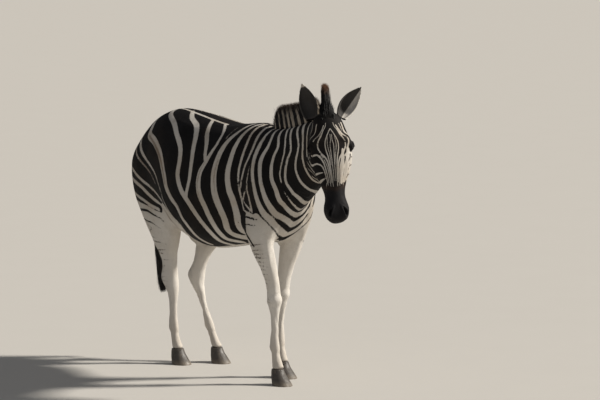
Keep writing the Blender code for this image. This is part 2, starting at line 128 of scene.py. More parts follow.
# the head's and the ears' own frames: face towards -Y, muzzle towards -Z, left towards +X
headPlan = {"yaw": -29, "roll": -4, "pitch": -15, "eye": (0, -.020, -.166), "eyeRadius": .0203}
earPlan = {"foot": (.073, .030, -.014), "length": .185, "lean": {"right": 9, "left": 40},
           "twist": {"right": 24, "left": 14}}
signs = {"right": -1, "left": 1}
eyeSpot = {side: sum(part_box("eye_" + side), Vector()) / 2 for side in signs}
headTurn = (Matrix.Rotation(radians(headPlan["yaw"]), 4, "Z")
            @ Matrix.Rotation(radians(headPlan["roll"]), 4, "Y")
            @ Matrix.Rotation(radians(headPlan["pitch"]), 4, "X"))
headPlace = Matrix.Translation((eyeSpot["right"] + eyeSpot["left"]) / 2
                               - headTurn @ Vector(headPlan["eye"])) @ headTurn
earPlace = {}
for side, sign in signs.items():
    foot = Vector(earPlan["foot"])
    earPlace[side] = (headPlace @ Matrix.Translation((sign * foot.x, foot.y, foot.z))
                      @ Matrix.Rotation(radians(sign * earPlan["lean"][side]), 4, "Y")
                      @ Matrix.Rotation(radians(sign * earPlan["twist"][side]), 4, "Z"))


def inside(place, points):
    # points of the room, given in a frame of their own
    back = np.array(place.inverted())
    return points @ back[:3, :3].T + back[:3, 3]


def outside(place, points):
    there = np.array(place)
    return np.asarray(points, float) @ there[:3, :3].T + there[:3, 3]


def regions(points):
    # how far each point belongs to the head, the ears, the neck, the legs and the tail, from 0 to 1
    own = inside(headPlace, points)
    past = (own - np.array((0, .080, -.02))) @ (np.array((0, -.86, -.50)) / np.hypot(.86, .50))
    wide = np.hypot(own[:, 0], own[:, 1] - .05)  # from the line that runs down the skull
    head = ease(-.035, .015, past) * ease(.195, .170, wide) * (np.abs(own[:, 2] + .25) < .35)
    ears = np.zeros(len(points))
    for side in signs:
        local = inside(earPlace[side], points)
        near = (np.hypot(local[:, 0], local[:, 1]) < .075) & (local[:, 2] < .22)
        ears = np.maximum(ears, near * ease(.004, .030, local[:, 2]))
    low = ease(.74, .56, points[:, 2]) * (points[:, 1] > -.50)
    # the belly is low too, but lies between the legs
    between = ease(-.16, -.10, points[:, 1]) * ease(.40, .30, points[:, 1]) * ease(.60, .625, points[:, 2])
    legs = low * (1 - between)
    tail = ease(.80, .835, points[:, 1]) * ease(1.24, 1.19, points[:, 2])
    neck = ease(-.22, -.42, points[:, 1]) * ease(.80, .95, points[:, 2]) * (1 - head)
    return {"own": own, "head": head * (1 - ears), "ears": ears, "neck": neck * (1 - ears), "legs": legs,
            "tail": tail}


def byArea(area, amounts):
    # one amount for each part of the body, blended where the parts meet
    out = np.full(len(area["head"]), float(amounts["trunk"]))
    for name in ("neck", "legs", "tail", "head", "ears"):
        out = out * (1 - area[name]) + amounts[name] * area[name]
    return out


# the skin: one closed surface over all the flesh, rounded, thinned and set in by the coat's depth
skinPlan = {
    "voxel": .0034, "grow": .0008, "smooth": 4, "coarse": 3, "rough": 42000, "again": .62,
    "longest": (.036, .026, .020, .0166), "lid": .0016, "lap": (.084, .0055), "crease": 52,
    "depth": {"trunk": .0026, "neck": .0024, "head": .0013, "ears": .0006, "legs": .0017, "tail": .0020}}
fleshNodes = ["trunk", "hindquarters", "neck", "head", "ear_right", "ear_left", "foreleg_right",
              "foreleg_left", "hindleg_right", "hindleg_left", "tail"]


def looseFlesh():
    joined = bmesh.new()
    for node in fleshNodes + ["eye_right", "eye_left"]:
        bm = mergedCopy(node)
        bm.normal_update()
        if node.startswith("eye"):
            for v in bm.verts:
                v.co += v.normal * skinPlan["lid"]
        if "leg" in node:
            for v in bm.verts:
                if v.co.z < skinPlan["lap"][0]:
                    v.co.z -= skinPlan["lap"][1]  # the coronet laps over the hoof
        creased(bm, radians(skinPlan["crease"]))
        mesh = bpy.data.meshes.new(node)
        bm.to_mesh(mesh)
        bm.free()
        joined.from_mesh(mesh)
        bpy.data.meshes.remove(mesh)
    return pieceFrom(joined, "skin")


def rounded(piece):
    curve = piece.modifiers.new("round", "SUBSURF")
    curve.levels = curve.render_levels = 2
    grow = piece.modifiers.new("grow", "DISPLACE")
    grow.strength = skinPlan["grow"]
    grow.mid_level = 0
    one = piece.modifiers.new("one", "REMESH")
    one.mode = "VOXEL"
    one.voxel_size = skinPlan["voxel"]
    settled(piece)
    for turn in range(skinPlan["coarse"]):
        for factor in (.5, -.52):
            even = piece.modifiers.new("even", "SMOOTH")
            even.factor = factor
            even.iterations = 1
    plain = piece.modifiers.new("plain", "SMOOTH")
    plain.factor = .5
    plain.iterations = skinPlan["smooth"]
    return settled(piece)


def thinned(piece, keep, ratio):
    # thins the mesh wherever keep is false
    group = piece.vertex_groups.new(name="plain")
    group.add([int(i) for i in np.flatnonzero(~keep)], 1.0, "REPLACE")
    fewer = piece.modifiers.new("fewer", "DECIMATE")
    fewer.ratio = ratio
    fewer.vertex_group = "plain"
    settled(piece)
    piece.vertex_groups.clear()
    return piece


def triangleCount(piece):
    piece.data.calc_loop_triangles()
    return len(piece.data.loop_triangles)


def evened(piece, fine):
    # cuts the long edges of the thinned body in two, and lays the new corners on the full surface
    for limit in skinPlan["longest"]:
        bm = bmesh.new()
        bm.from_mesh(piece.data)
        long = [edge for edge in bm.edges if edge.calc_length() > limit]
        bmesh.ops.subdivide_edges(bm, edges=long, cuts=1)
        bmesh.ops.triangulate(bm, faces=bm.faces, quad_method="SHORT_EDGE", ngon_method="BEAUTY")
        bm.to_mesh(piece.data)
        bm.free()
    lay = piece.modifiers.new("lay", "SHRINKWRAP")
    lay.target = fine
    lay.wrap_method = "NEAREST_SURFACEPOINT"
    settled(piece)
    bpy.data.objects.remove(fine)
    return piece


def makeSkin():
    piece = rounded(looseFlesh())
    print("zebra: skin joined,", triangleCount(piece), "triangles")
    fine = bpy.data.objects.new("fine", piece.data.copy())
    bpy.context.scene.collection.objects.link(fine)
    area = regions(spots(piece.data))
    keep = (area["head"] > .3) | (area["ears"] > 0)
    kept = sum(all(keep[i] for i in face.vertices) for face in piece.data.polygons) * 2
    thinned(piece, keep, (kept + skinPlan["rough"]) / triangleCount(piece))
    thinned(piece, np.zeros(len(piece.data.vertices), bool), skinPlan["again"])
    print("zebra: skin thinned,", triangleCount(piece), "triangles,", kept, "of them on the head")
    evened(piece, fine)
    print("zebra: skin evened,", triangleCount(piece), "triangles")
    return piece


def refined(piece, centres, reach):
    # cuts the faces near the centres in four
    bm = bmesh.new()
    bm.from_mesh(piece.data)
    near = [edge for edge in bm.edges
            if min(((edge.verts[0].co + edge.verts[1].co) / 2 - c).length for c in centres) < reach]
    bmesh.ops.subdivide_edges(bm, edges=near, cuts=1, use_grid_fill=True, smooth=.3)
    bmesh.ops.triangulate(bm, faces=bm.faces)
    bm.to_mesh(piece.data)
    bm.free()
    return piece


skin = makeSkin()


# the forms of the skin: hollows, folds and swellings, each moved along the surface's own direction
def swell(places, way, centre, radius, amount, place=None):
    # a soft bump, or a hollow where the amount is negative
    own = places if place is None else inside(place, places)
    far = np.linalg.norm((own - np.array(centre)) / np.array(radius), axis=1)
    return places + way * (amount * np.exp(-far ** 2))[:, None]


def groove(places, way, points, width, amount, place=None):
    # a fold along a curve, or a ridge where the amount is positive
    own = places if place is None else inside(place, places)
    line = strand(points, .004)
    reach = width * 3
    near = np.all((own > line.min(0) - reach) & (own < line.max(0) + reach), axis=1)
    if not near.any():
        return places
    far = np.sqrt(((own[near][:, None, :] - line[None, :, :]) ** 2).sum(2)).min(1)
    share = np.zeros(len(places))
    share[near] = np.exp(-(far / width) ** 2)
    return places + way * (amount * share)[:, None]


def formed(places, way, forms, place=None):
    # lays each form on both sides: a single point makes a swelling, and several make a fold
    for points, size, amount in forms:
        maker = swell if len(points) == 1 else groove
        for sign in (-1, 1):
            mirrored = [(sign * x, y, z) for x, y, z in points]
            places = maker(places, way, mirrored if maker is groove else mirrored[0], size, amount, place)
    return places


nostril = {"at": (.041, -.034, -.490), "size": (.0100, .0105, .0235), "depth": .019, "rim": .0022}
eyeLook = {"out": (.86, -.50, .02), "along": (.08, -.55, -.83), "half": .0180, "upper": .0108, "lower": .0080,
           "reach": .036, "sink": .0042, "shell": .0026, "rim": .0016}
# each form: its points in the head's frame, its size, and how far it moves the skin
headForms = [
    ([(.090, -.020, -.166)], (.044, .036, .042), .0050),  # the lids' own thickness
    ([(.066, -.046, -.132)], (.022, .018, .015), .0065),  # brow over the eye
    ([(.072, -.036, -.094)], (.018, .020, .020), -.0065),  # hollow above the brow
    ([(.050, -.008, -.038)], (.016, .030, .022), .0040),  # temple muscle
    ([(.088, -.014, -.205), (.086, .002, -.245), (.070, .006, -.300)], .0085, .0062),  # cheek crest
    ([(.084, .020, -.232), (.074, .026, -.290)], .010, -.0040),  # below the crest
    ([(.060, -.038, -.255), (.046, -.030, -.330), (.040, -.026, -.410)], .009, -.0034),  # side of the nose
    ([(.030, .172, -.230), (.034, .150, -.280), (.032, .110, -.340)], .011, -.0035),  # inside the jaw
    ([(.082, .070, -.305), (.088, .112, -.262), (.086, .150, -.190)], .009, -.0042),  # edge of the cheek
    ([(.080, .088, -.215)], (.030, .048, .055), .0050),  # cheek muscle
    ([(.066, .040, -.330), (.052, .046, -.400), (.050, .040, -.440)], .011, .0022),  # cheek to lip
    ([nostril["at"]], (.026, .024, .036), .0064),  # wing of the nostril
    ([(.048, .020, -.470)], (.026, .040, .046), .0105),  # breadth of the muzzle
    ([(.092, .004, -.160)], (.030, .050, .110), .0060),  # breadth across the eyes and cheeks
    ([(.020, -.026, -.515)], (.020, .020, .020), .0018),  # upper lip
    ([(.040, .014, -.505)], (.020, .014, .022), .0030),  # side of the upper lip
    ([(.028, .056, -.508)], (.022, .016, .016), .0034),  # lower lip
    ([(.0, .082, -.492)], (.022, .014, .022), .0020),  # chin
    ([(.030, .086, -.455), (.032, .078, -.410)], .010, -.0024),  # behind the chin
    ([(.0, -.002, -.550), (.024, .008, -.543), (.042, .022, -.520), (.051, .034, -.488),
      (.049, .040, -.458), (.046, .044, -.440)], .0032, -.0066),  # line of the mouth
    ([(.056, .028, -.462), (.050, .052, -.446)], .007, -.0026),  # fold at its corner
    ([(.056, -.046, -.132), (.076, -.042, -.139), (.094, -.024, -.136)], .0028, -.0030),  # lid fold
    ([(.060, -.044, -.122), (.080, -.036, -.127), (.094, -.018, -.124)], .0040, .0020),  # above the lid fold
    ([(.084, -.048, -.204), (.100, -.022, -.200)], .0030, -.0024),  # fold under the eye
    ([(.066, -.058, -.192), (.058, -.056, -.206)], .0042, -.0030),  # inner corner
]
bodyForms = [  # the same for the body, in the room's frame
    ([(.20, -.10, .76), (.16, -.16, .70), (.12, -.20, .66)], .020, -.0075),  # behind the elbow
    ([(.19, -.10, .98), (.19, -.13, .88), (.19, -.13, .78)], .030, -.0050),  # behind the shoulder
    ([(.08, -.24, 1.27), (.14, -.30, 1.18), (.17, -.36, 1.06)], .030, -.0035),  # front of the blade
    ([(.23, .26, .86), (.21, .30, .78), (.17, .33, .71)], .026, -.0090),  # flank fold
    ([(.22, .20, 1.02)], (.05, .06, .10), -.0060),  # hollow of the flank
    ([(.17, .34, 1.25)], (.05, .05, .04), .0060),  # point of the hip
    ([(.06, -.44, .98), (.09, -.40, .90), (.10, -.36, .82)], .022, -.0040),  # side of the breast
    ([(.10, -.62, 1.16), (.09, -.55, 1.08), (.08, -.47, 1.00)], .018, -.0035),  # groove of the throat
    ([(.17, .66, 1.10), (.18, .64, .98), (.16, .62, .86)], .020, -.0035),  # seam of the ham
]
for index in range(7):  # the ribs
    back = .02 + index * .040 - .10
    bodyForms.append(([(.24, back, 1.10), (.25, back + .012, .96), (.23, back + .006, .84)], .009, .0012))


def eyeAxes(side):
    # the directions of one eye: out of the ball, along its opening, and up across it
    turn = np.array(headTurn)[:3, :3]
    sign = signs[side]
    out = unit(turn @ (np.array(eyeLook["out"]) * (sign, 1, 1)))
    along = turn @ (np.array(eyeLook["along"]) * (sign, 1, 1))
    along = unit(along - out * (along @ out))
    up = np.cross(out, along) * sign
    return out, along, up * (1 if up[2] > 0 else -1)


def openNostrils(places, way):
    for sign in (-1, 1):
        x, y, z = nostril["at"]
        there = inside(headPlace, places)
        own = there - np.array((sign * x, y, z))
        a, b, c = nostril["size"]
        # a comma, its upper end nearer the bridge
        bent = own[:, 1] + sign * .35 * own[:, 0] + .25 * own[:, 2]
        aslant = sign * own[:, 0] + .38 * own[:, 2] + 9 * own[:, 2] ** 2
        far = np.sqrt((aslant / a) ** 2 + (bent / b) ** 2 + (own[:, 2] / c) ** 2)
        facing = (there[:, 0] * sign > .012)
        places = places - way * (facing * (nostril["depth"] * ease(1.05, .40, far)
                                           - nostril["rim"] * np.exp(-((far - 1.35) / .28) ** 2)))[:, None]
    return places


def openEyes(places):
    # the lids lie over the eyeball, and the skin sinks behind it within their opening
    shade = np.zeros(len(places))
    for side in signs:
        out, along, up = eyeAxes(side)
        q = places - np.array(eyeSpot[side])
        u, w, h = q @ along, q @ up, q @ out
        arch = np.clip(1 - (u / eyeLook["half"]) ** 2, 0, 1)
        limit = np.where(w > 0, eyeLook["upper"], eyeLook["lower"]) * arch
        beyond = np.maximum(np.abs(w) - limit, np.abs(u) - eyeLook["half"])
        length = np.linalg.norm(q, axis=1)
        near = (h > .004) & (length < eyeLook["reach"])
        sunk = headPlan["eyeRadius"] - eyeLook["sink"]
        shell = headPlan["eyeRadius"] + eyeLook["shell"]
        length = length + ease(-.008, .004, h) * np.maximum(shell - length, 0)
        hole = near * ease(.0006, -.0006, beyond)
        rim = near * np.exp(-((beyond - .0018) / .0015) ** 2) * (length < .030)
        target = length * (1 - hole) + sunk * hole + eyeLook["rim"] * rim * (1 - hole)
        places = np.array(eyeSpot[side]) + unit(q) * target[:, None]
        shade = np.maximum(shade, near * ease(.0050, .0010, beyond))
    return places, shade


def shapeBody(places, way):
    places = formed(places, way, bodyForms)
    midline = [(0, -.44, .96), (0, -.41, .86), (0, -.36, .76)]  # between the two sides of the breast
    return groove(places, way, midline, .012, -.0045)


def legMiddles(places):
    # the middle of each leg at every height, read from the skin itself
    out = {}
    for name in ("foreleg_right", "foreleg_left", "hindleg_right", "hindleg_left"):
        low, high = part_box(name)
        held = np.all((places > np.array(low) - .004) & (places < np.array(high) + .004), axis=1)
        held &= (np.sign(places[:, 0]) == np.sign(low.x + high.x))
        heights = np.arange(.10, .60, .01)
        rows = []
        for z in heights:
            ring = places[held & (np.abs(places[:, 2] - z) < .014)]
            rows.append(((ring[:, 0].min() + ring[:, 0].max()) / 2, (ring[:, 1].min() + ring[:, 1].max()) / 2,
                         np.ptp(ring[:, 0]) / 2, np.ptp(ring[:, 1]) / 2))
        out[name] = (heights, np.array(rows), held)
    return out


def bump(value, centre, width):
    # 1 at the centre, and soft to both sides
    return np.exp(-((value - centre) / width) ** 2)


def shapeLegs(places, way, middles):
    for name, (heights, rows, held) in middles.items():
        z = places[:, 2]
        x, y, wide, deep = [np.interp(z, heights, rows[:, k]) for k in range(4)]
        ahead = (places[:, 1] - y) / deep
        aside = (places[:, 0] - x) / wide
        cannon = ease(.20, .23, z) * ease(.38, .34, z)
        move = -.0030 * cannon * bump(ahead, .25, .28) * (np.abs(aside) > .4)  # before the tendon
        move += .0016 * cannon * bump(ahead, .75, .25)  # the tendon
        if name.startswith("fore"):
            move += .0030 * bump(z, .425, .016) * (ahead < .1)  # the knee, and above and below it
            move -= .0022 * bump(z, .458, .010) * (ahead < .2)
            move -= .0022 * bump(z, .392, .010) * (ahead < .2)
            move += .0040 * bump(z, .415, .012) * (ahead > .6)  # behind the knee
        else:
            hollow = ease(.44, .48, z) * ease(.60, .52, z)
            move -= .0075 * hollow * bump(ahead, .45, .22) * (np.abs(aside) > .3)  # before the hock's cord
        move += .0030 * bump(z, .186, .014) * (ahead > .2)  # fetlock's back
        move -= .0022 * bump(z, .160, .010)  # pastern
        move += .0020 * bump(z, .088, .008)  # coronet
        places = places + way * (move * held)[:, None]
    return places


def setIn(places, way):
    depth = byArea(regions(places), skinPlan["depth"])
    depth *= ease(.080, .110, places[:, 2])  # none below the coronet
    return places - way * depth[:, None]


eyeSpots = list(eyeSpot.values())
muzzleSpots = outside(headPlace, [(.040, -.034, -.492), (-.040, -.034, -.492), (0, 0, -.535)])
faceLine = outside(headPlace, [(0, -.058, -drop) for drop in np.arange(.085, .36, .028)])
for centres, reach in ((eyeSpots, .031), (eyeSpots, .0235), (muzzleSpots, .036), (faceLine, .044)):
    refined(skin, [Vector(c) for c in centres], reach)
places, way = spots(skin.data), outward(skin.data)
places = setIn(places, way)
places = shapeBody(places, way)
places = formed(places, way, headForms, headPlace)
middles = legMiddles(places)
places = shapeLegs(places, way, middles)
places = openNostrils(places, way)
places, lidShade = openEyes(places)
putSpots(skin.data, places)
skin.data.shade_smooth()
skinTree = BVHTree.FromPolygons([Vector(p) for p in places], [tuple(f.vertices) for f in skin.data.polygons])
print("zebra: skin shaped,", triangleCount(skin), "triangles")


# the markings: strokes laid on the skin in order, white over the black ground, black over the white
# a place of two numbers is (back, height), found from the side; one of three is (out from the middle, back,
# height), found as the nearest skin; half widths are in millimetres, spread evenly along the stroke
bodyStrokes = [
    ("white", [(.02, .70, 1.29), (.14, .65, 1.25), (.62, 1.20), (.53, 1.17), (.44, 1.11), (.375, 1.02),
     (.345, .95), (.31, .905), (.265, .86), (.24, .80), (.215, .75), (.17, .20, .695), (.11, .17, .655)],
     (14, 20, 18, 12, 12)),
    ("white", [(.435, .96), (.41, .92), (.39, .87), (.365, .83), (.33, .79), (.30, .75), (.17, .28, .70)],
     (2, 4, 4, 5)),
    ("white", [(.02, .59, 1.33), (.10, .54, 1.31), (.44, 1.27), (.35, 1.22), (.28, 1.16), (.255, 1.10),
     (.25, 1.02), (.215, .95), (.16, .89), (.11, .82), (.07, .74), (.12, .06, .675), (.07, .03, .65)],
     (13, 14, 15, 15, 16)),
    ("white", [(.03, .44, 1.335), (.36, 1.30), (.27, 1.27), (.21, 1.22), (.18, 1.16), (.16, 1.09),
     (.155, 1.01), (.17, .94), (.175, .905)], (10, 15, 14, 9)),
    ("white", [(.020, .56, 1.338), (.036, .42, 1.33), (.046, .30, 1.315), (.050, .20, 1.300),
     (.052, .10, 1.285)], (6, 7, 7)),
    ("white", [(.050, .23, 1.30), (.15, 1.24), (.10, 1.19), (.07, 1.13), (.055, 1.10)], (9, 13, 10)),
    ("white", [(.050, .12, 1.285), (.04, 1.25), (.02, 1.20), (.03, 1.16), (.05, 1.11), (.08, 1.05),
     (.085, .99), (.07, .93), (.04, .87), (.02, .80), (.01, .74), (.14, -.01, .685), (.10, -.08, .66)],
     (8, 9, 16, 17, 17)),
    ("white", [(-.032, 1.275), (-.022, 1.225)], (2, 3)),
    ("white", [(.030, -.11, 1.30), (-.08, 1.26), (-.05, 1.215), (-.03, 1.15), (-.02, 1.08), (-.02, 1.02),
     (-.03, .95), (-.055, .88), (-.07, .82), (-.06, .76), (.155, -.09, .715), (.13, -.17, .688),
     (.11, -.24, .678)], (7, 16, 20, 20, 18)),
    ("white", [(.020, -.16, 1.307), (-.13, 1.25), (-.12, 1.19), (-.115, 1.13), (-.11, 1.05), (-.12, .98),
     (-.145, .92), (-.155, .85), (-.145, .78), (.165, -.175, .735), (.14, -.235, .705)],
     (7, 13, 17, 24, 22)),
    ("white", [(.010, -.18, 1.309), (-.18, 1.26), (-.19, 1.20), (-.185, 1.12), (-.18, 1.05), (-.19, .98),
     (-.205, .92), (-.21, .88)], (6, 8, 3)),
    ("white", [(.008, -.215, 1.31), (-.22, 1.26), (-.24, 1.20), (-.24, 1.15), (-.22, 1.09), (-.205, 1.03),
     (-.20, .97), (-.205, .92)], (6, 7, 3)),
    ("white", [(-.262, 1.10), (-.25, 1.04), (-.25, .99), (-.265, .94), (-.28, .89)], (2, 5, 7)),
    ("white", [(-.25, 1.00), (-.225, .955), (-.212, .92)], (2, 3, 4)),
    ("white", [(-.225, .97), (-.215, .93), (-.24, .90), (-.28, .88)], (2, 4, 7)),
    ("white", [(-.205, .88), (-.25, .862), (-.30, .855)], (4, 7, 8)),
    ("white", [(.0, -.265, 1.31), (-.26, 1.25), (-.27, 1.20), (-.28, 1.14), (-.29, 1.06), (-.31, .99),
     (-.33, .93), (-.355, .875), (.12, -.385, .815), (.05, -.355, .765), (0, -.325, .74)],
     (6, 10, 11, 18, 19)),
    ("white", [(.0, -.305, 1.31), (-.31, 1.27), (-.325, 1.22), (-.315, 1.16), (-.32, 1.12), (-.34, 1.05),
     (-.36, .99), (-.38, .93), (.12, -.395, .87), (.05, -.395, .83), (0, -.38, .80)], (6, 10, 10, 15, 16)),
    ("white", [(.0, -.345, 1.315), (-.37, 1.26), (-.40, 1.21), (-.385, 1.16), (-.38, 1.11), (-.39, 1.05),
     (-.41, .99), (.11, -.42, .93), (.05, -.415, .885), (0, -.40, .86)], (7, 9, 9, 11, 14)),
    ("white", [(.0, -.378, 1.32), (-.44, 1.25), (-.46, 1.19), (-.45, 1.14), (-.435, 1.08), (-.44, 1.03)],
     (8, 6, 4)),
    ("white", [(-.445, .985), (.09, -.46, .945), (.04, -.455, .91), (0, -.435, .89)], (2, 6, 9)),
    ("white", [(.0, -.415, 1.325), (-.48, 1.26), (-.51, 1.20), (-.49, 1.15), (-.475, 1.10), (-.47, 1.04),
     (.09, -.49, .995), (.05, -.505, .955), (0, -.49, .925)], (9, 7, 8, 14)),
    ("white", [(.0, -.465, 1.33), (-.56, 1.25), (-.57, 1.20), (-.555, 1.15), (-.55, 1.10),
     (.08, -.565, 1.05), (.04, -.59, 1.01), (0, -.575, .985)], (10, 7, 7, 11)),
    ("white", [(.0, -.520, 1.34), (-.59, 1.28), (-.61, 1.22), (-.61, 1.16), (.07, -.63, 1.10),
     (.03, -.65, 1.06), (0, -.64, 1.035)], (10, 7, 7)),
    ("white", [(.0, -.572, 1.35), (.05, -.63, 1.30), (.07, -.655, 1.24), (.07, -.66, 1.18)], (9, 6, 4)),
    ("black", [(0, .78, 1.24), (0, .60, 1.335), (0, .30, 1.325), (0, .05, 1.295), (0, -.24, 1.31)],
     (6, 8, 5)),
    # the haunch, where the stripes turn to run back
    ("white", [(.04, .79, 1.235), (.69, 1.14), (.61, 1.085), (.49, 1.02), (.44, .965), (.415, .92)],
     (9, 10, 6, 2)),
    ("white", [(.06, .795, 1.19), (.72, 1.105), (.64, 1.06), (.54, 1.01), (.48, .96)], (6, 6, 3)),
    ("white", [(.09, .80, 1.04), (.74, 1.01), (.63, .965), (.56, .94), (.49, .91), (.42, .872)], (8, 8, 5)),
    ("white", [(.09, .79, .985), (.73, .955), (.64, .93), (.58, .90), (.52, .87), (.46, .848)], (9, 10, 9)),
    ("white", [(.08, .77, .92), (.72, .883), (.63, .862), (.57, .84), (.50, .82)], (9, 8, 9)),
    ("white", [(.08, .76, .865), (.70, .838), (.60, .822), (.54, .803), (.48, .79)], (9, 11, 12)),
]
legGround = [  # the white round the elbows, and along the middle of the belly
    ("white", [(-.252, .838), (-.262, .78), (.15, -.275, .72), (.13, -.30, .66)], (34, 46, 58, 66)),
    ("white", [(-.312, .846), (.145, -.328, .80), (.11, -.325, .74), (.08, -.30, .68)], (24, 40, 52, 62)),
    ("white", [(.03, .34, .68), (.03, .10, .63), (.03, -.10, .64), (.03, -.24, .67)], (60, 34, 36, 46)),
]
# on the hindquarters: how far back, and how high the white reaches there
hindGround = ((.24, .30, .335, .38, .42, .455, .485, .54, .62, .72, .80),
              (.64, .735, .79, .835, .865, .85, .80, .80, .815, .83, .85))
groundOver = [
    ("black", [(0, .28, .66), (0, .10, .63), (0, -.10, .64), (0, -.24, .67)], (5, 8, 4)),
    ("black", [(.08, .75, .815), (.70, .802), (.61, .805), (.56, .79), (.51, .775), (.485, .755)],
     (6, 8, 7, 3)),
    ("black", [(.08, .73, .765), (.70, .755), (.60, .745), (.55, .73), (.52, .715)], (4, 5, 5, 2)),
    ("black", [(.635, .730), (.60, .712), (.63, .692)], (2, 3, 2)),
    ("black", [(.65, .672), (.58, .660)], (4, 2)),
    ("black", [(-.195, .89), (-.197, .82), (-.205, .765), (.17, -.245, .727), (.15, -.275, .700)],
     (8, 10, 9, 5)),
    ("black", [(-.21, .845), (-.26, .842), (-.315, .838)], (5, 6, 3)),
    ("black", [(-.225, .808), (-.27, .806), (-.30, .806)], (4, 4, 2)),
    ("black", [(-.305, .89), (-.335, .865), (.16, -.365, .830), (.10, -.37, .778), (.04, -.325, .735),
     (0, -.30, .72)], (2, 4, 5, 5)),
]
shadowStrokes = [  # the brown shadow stripes inside some of the white, and painted shade in the fold before the thigh
    ("shade", [(.62, 1.195), (.53, 1.16), (.44, 1.10), (.385, 1.03), (.36, .97)], (5, 9, 5)),
    ("shade", [(.30, .92), (.27, .88), (.24, .83), (.225, .78)], (2, 4, 2)),
    ("shade", [(.745, 1.125), (.66, 1.075), (.56, 1.02), (.48, .965), (.44, .92)], (5, 8, 4)),
    ("shade", [(.74, .985), (.64, .948), (.57, .920), (.50, .890), (.45, .865)], (5, 9, 6)),
    ("shade", [(.71, .862), (.64, .848), (.58, .836)], (4, 5, 2)),
    # painted shade: the fold in front of the thigh, darkened where shadow falls
    ("shade", [(.44, .83), (.42, .79), (.40, .73)], (4, 12, 6)),
    ("shade", [(.062, 1.10), (.085, 1.04), (.09, .98), (.075, .91)], (2, 4, 2)),
    ("shade", [(-.03, 1.12), (-.022, 1.04), (-.03, .96)], (2, 4, 2)),
    ("faint", [(.62, .645), (.58, .640), (.55, .640), (.51, .632)], (5, 4, 2)),
]
# on the head the places are (out from the middle, back, down from the poll)
faceStrokes = [
    ("white", [(.004, -.07, .108), (.004, -.07, .136), (.009, -.07, .161), (.008, -.07, .200),
     (.006, -.06, .245), (.005, -.06, .30), (.005, -.05, .338)], (1.2, 1.8, 1.1)),
    ("white", [(.001, -.07, .080), (.016, -.07, .106), (.029, -.07, .134), (.034, -.07, .156),
     (.031, -.06, .185), (.024, -.06, .215), (.018, -.06, .26), (.013, -.05, .32), (.012, -.05, .364)],
     (1.7, 2.6, 1.2)),
    ("white", [(.018, -.07, .120), (.022, -.07, .145), (.021, -.07, .175), (.015, -.07, .21),
     (.012, -.06, .26)], (1.1, 1.7, 1.1)),
    ("white", [(.034, -.06, .082), (.048, -.06, .112), (.066, -.055, .143), (.069, -.055, .170),
     (.058, -.055, .196), (.042, -.06, .216), (.031, -.06, .236), (.024, -.055, .268), (.019, -.05, .31),
     (.018, -.05, .346)], (2.2, 3.7, 1.2)),
    ("white", [(.056, -.055, .207), (.042, -.055, .236), (.032, -.055, .27), (.026, -.05, .31),
     (.024, -.045, .363)], (1.4, 2.0, 1.2)),
    ("white", [(.092, -.020, .203), (.076, -.042, .203), (.060, -.049, .220), (.047, -.050, .247),
     (.040, -.048, .277), (.034, -.043, .31), (.031, -.04, .343)], (4.8, 2.9, 1.3)),
    ("white", [(.093, -.004, .245), (.076, -.036, .246), (.058, -.044, .260), (.048, -.044, .284),
     (.042, -.040, .31), (.037, -.038, .356)], (4.8, 2.9, 1.3)),
    ("white", [(.054, -.038, .291), (.070, -.023, .290), (.080, .004, .290)], (1.8, 4.6, 5.0)),
    ("white", [(.046, -.036, .319), (.058, -.022, .325), (.064, .02, .330)], (2.4, 6.4, 6.0)),
    ("white", [(.043, -.034, .343), (.044, -.024, .362), (.043, -.018, .388)], (1.8, 2.4, 1.4)),
    ("white", [(.060, -.036, .050), (.068, -.036, .074), (.078, -.032, .096), (.090, -.018, .116),
     (.094, .004, .126)], (3.0, 2.3, 3.0)),
    ("white", [(.030, -.056, .062), (.040, -.055, .084), (.055, -.052, .104), (.071, -.047, .122),
     (.084, -.044, .136)], (2.2, 2.3, 3.0)),
    ("white", [(.018, -.055, .050), (.024, -.06, .070), (.044, -.06, .098), (.060, -.055, .120)],
     (1.4, 1.9, 1.4)),
    ("white", [(.062, .000, .040), (.074, -.008, .070), (.088, .004, .098)], (2.8, 2.4, 2.0)),
    # round the cheek, each from the face back and up
    ("white", [(.094, .012, .205), (.098, .035, .196), (.097, .062, .172)], (4.5, 4, 1.4)),
    ("white", [(.093, -.004, .245), (.097, .035, .236), (.096, .070, .208), (.092, .092, .170)],
     (5.5, 5, 1.4)),
    ("white", [(.080, .004, .290), (.090, .040, .272), (.091, .080, .245), (.086, .112, .200)],
     (5, 5.4, 1.4)),
    ("white", [(.064, .02, .330), (.076, .050, .308), (.081, .090, .275), (.076, .130, .225)], (6, 5.4, 2)),
    ("white", [(.048, .012, .375), (.058, .050, .345), (.062, .095, .305), (.054, .140, .255)],
     (3.4, 5, 3)),
    ("white", [(.046, .055, .388), (.044, .080, .350), (.032, .125, .305), (.0, .160, .258)], (2.4, 5, 5)),
]
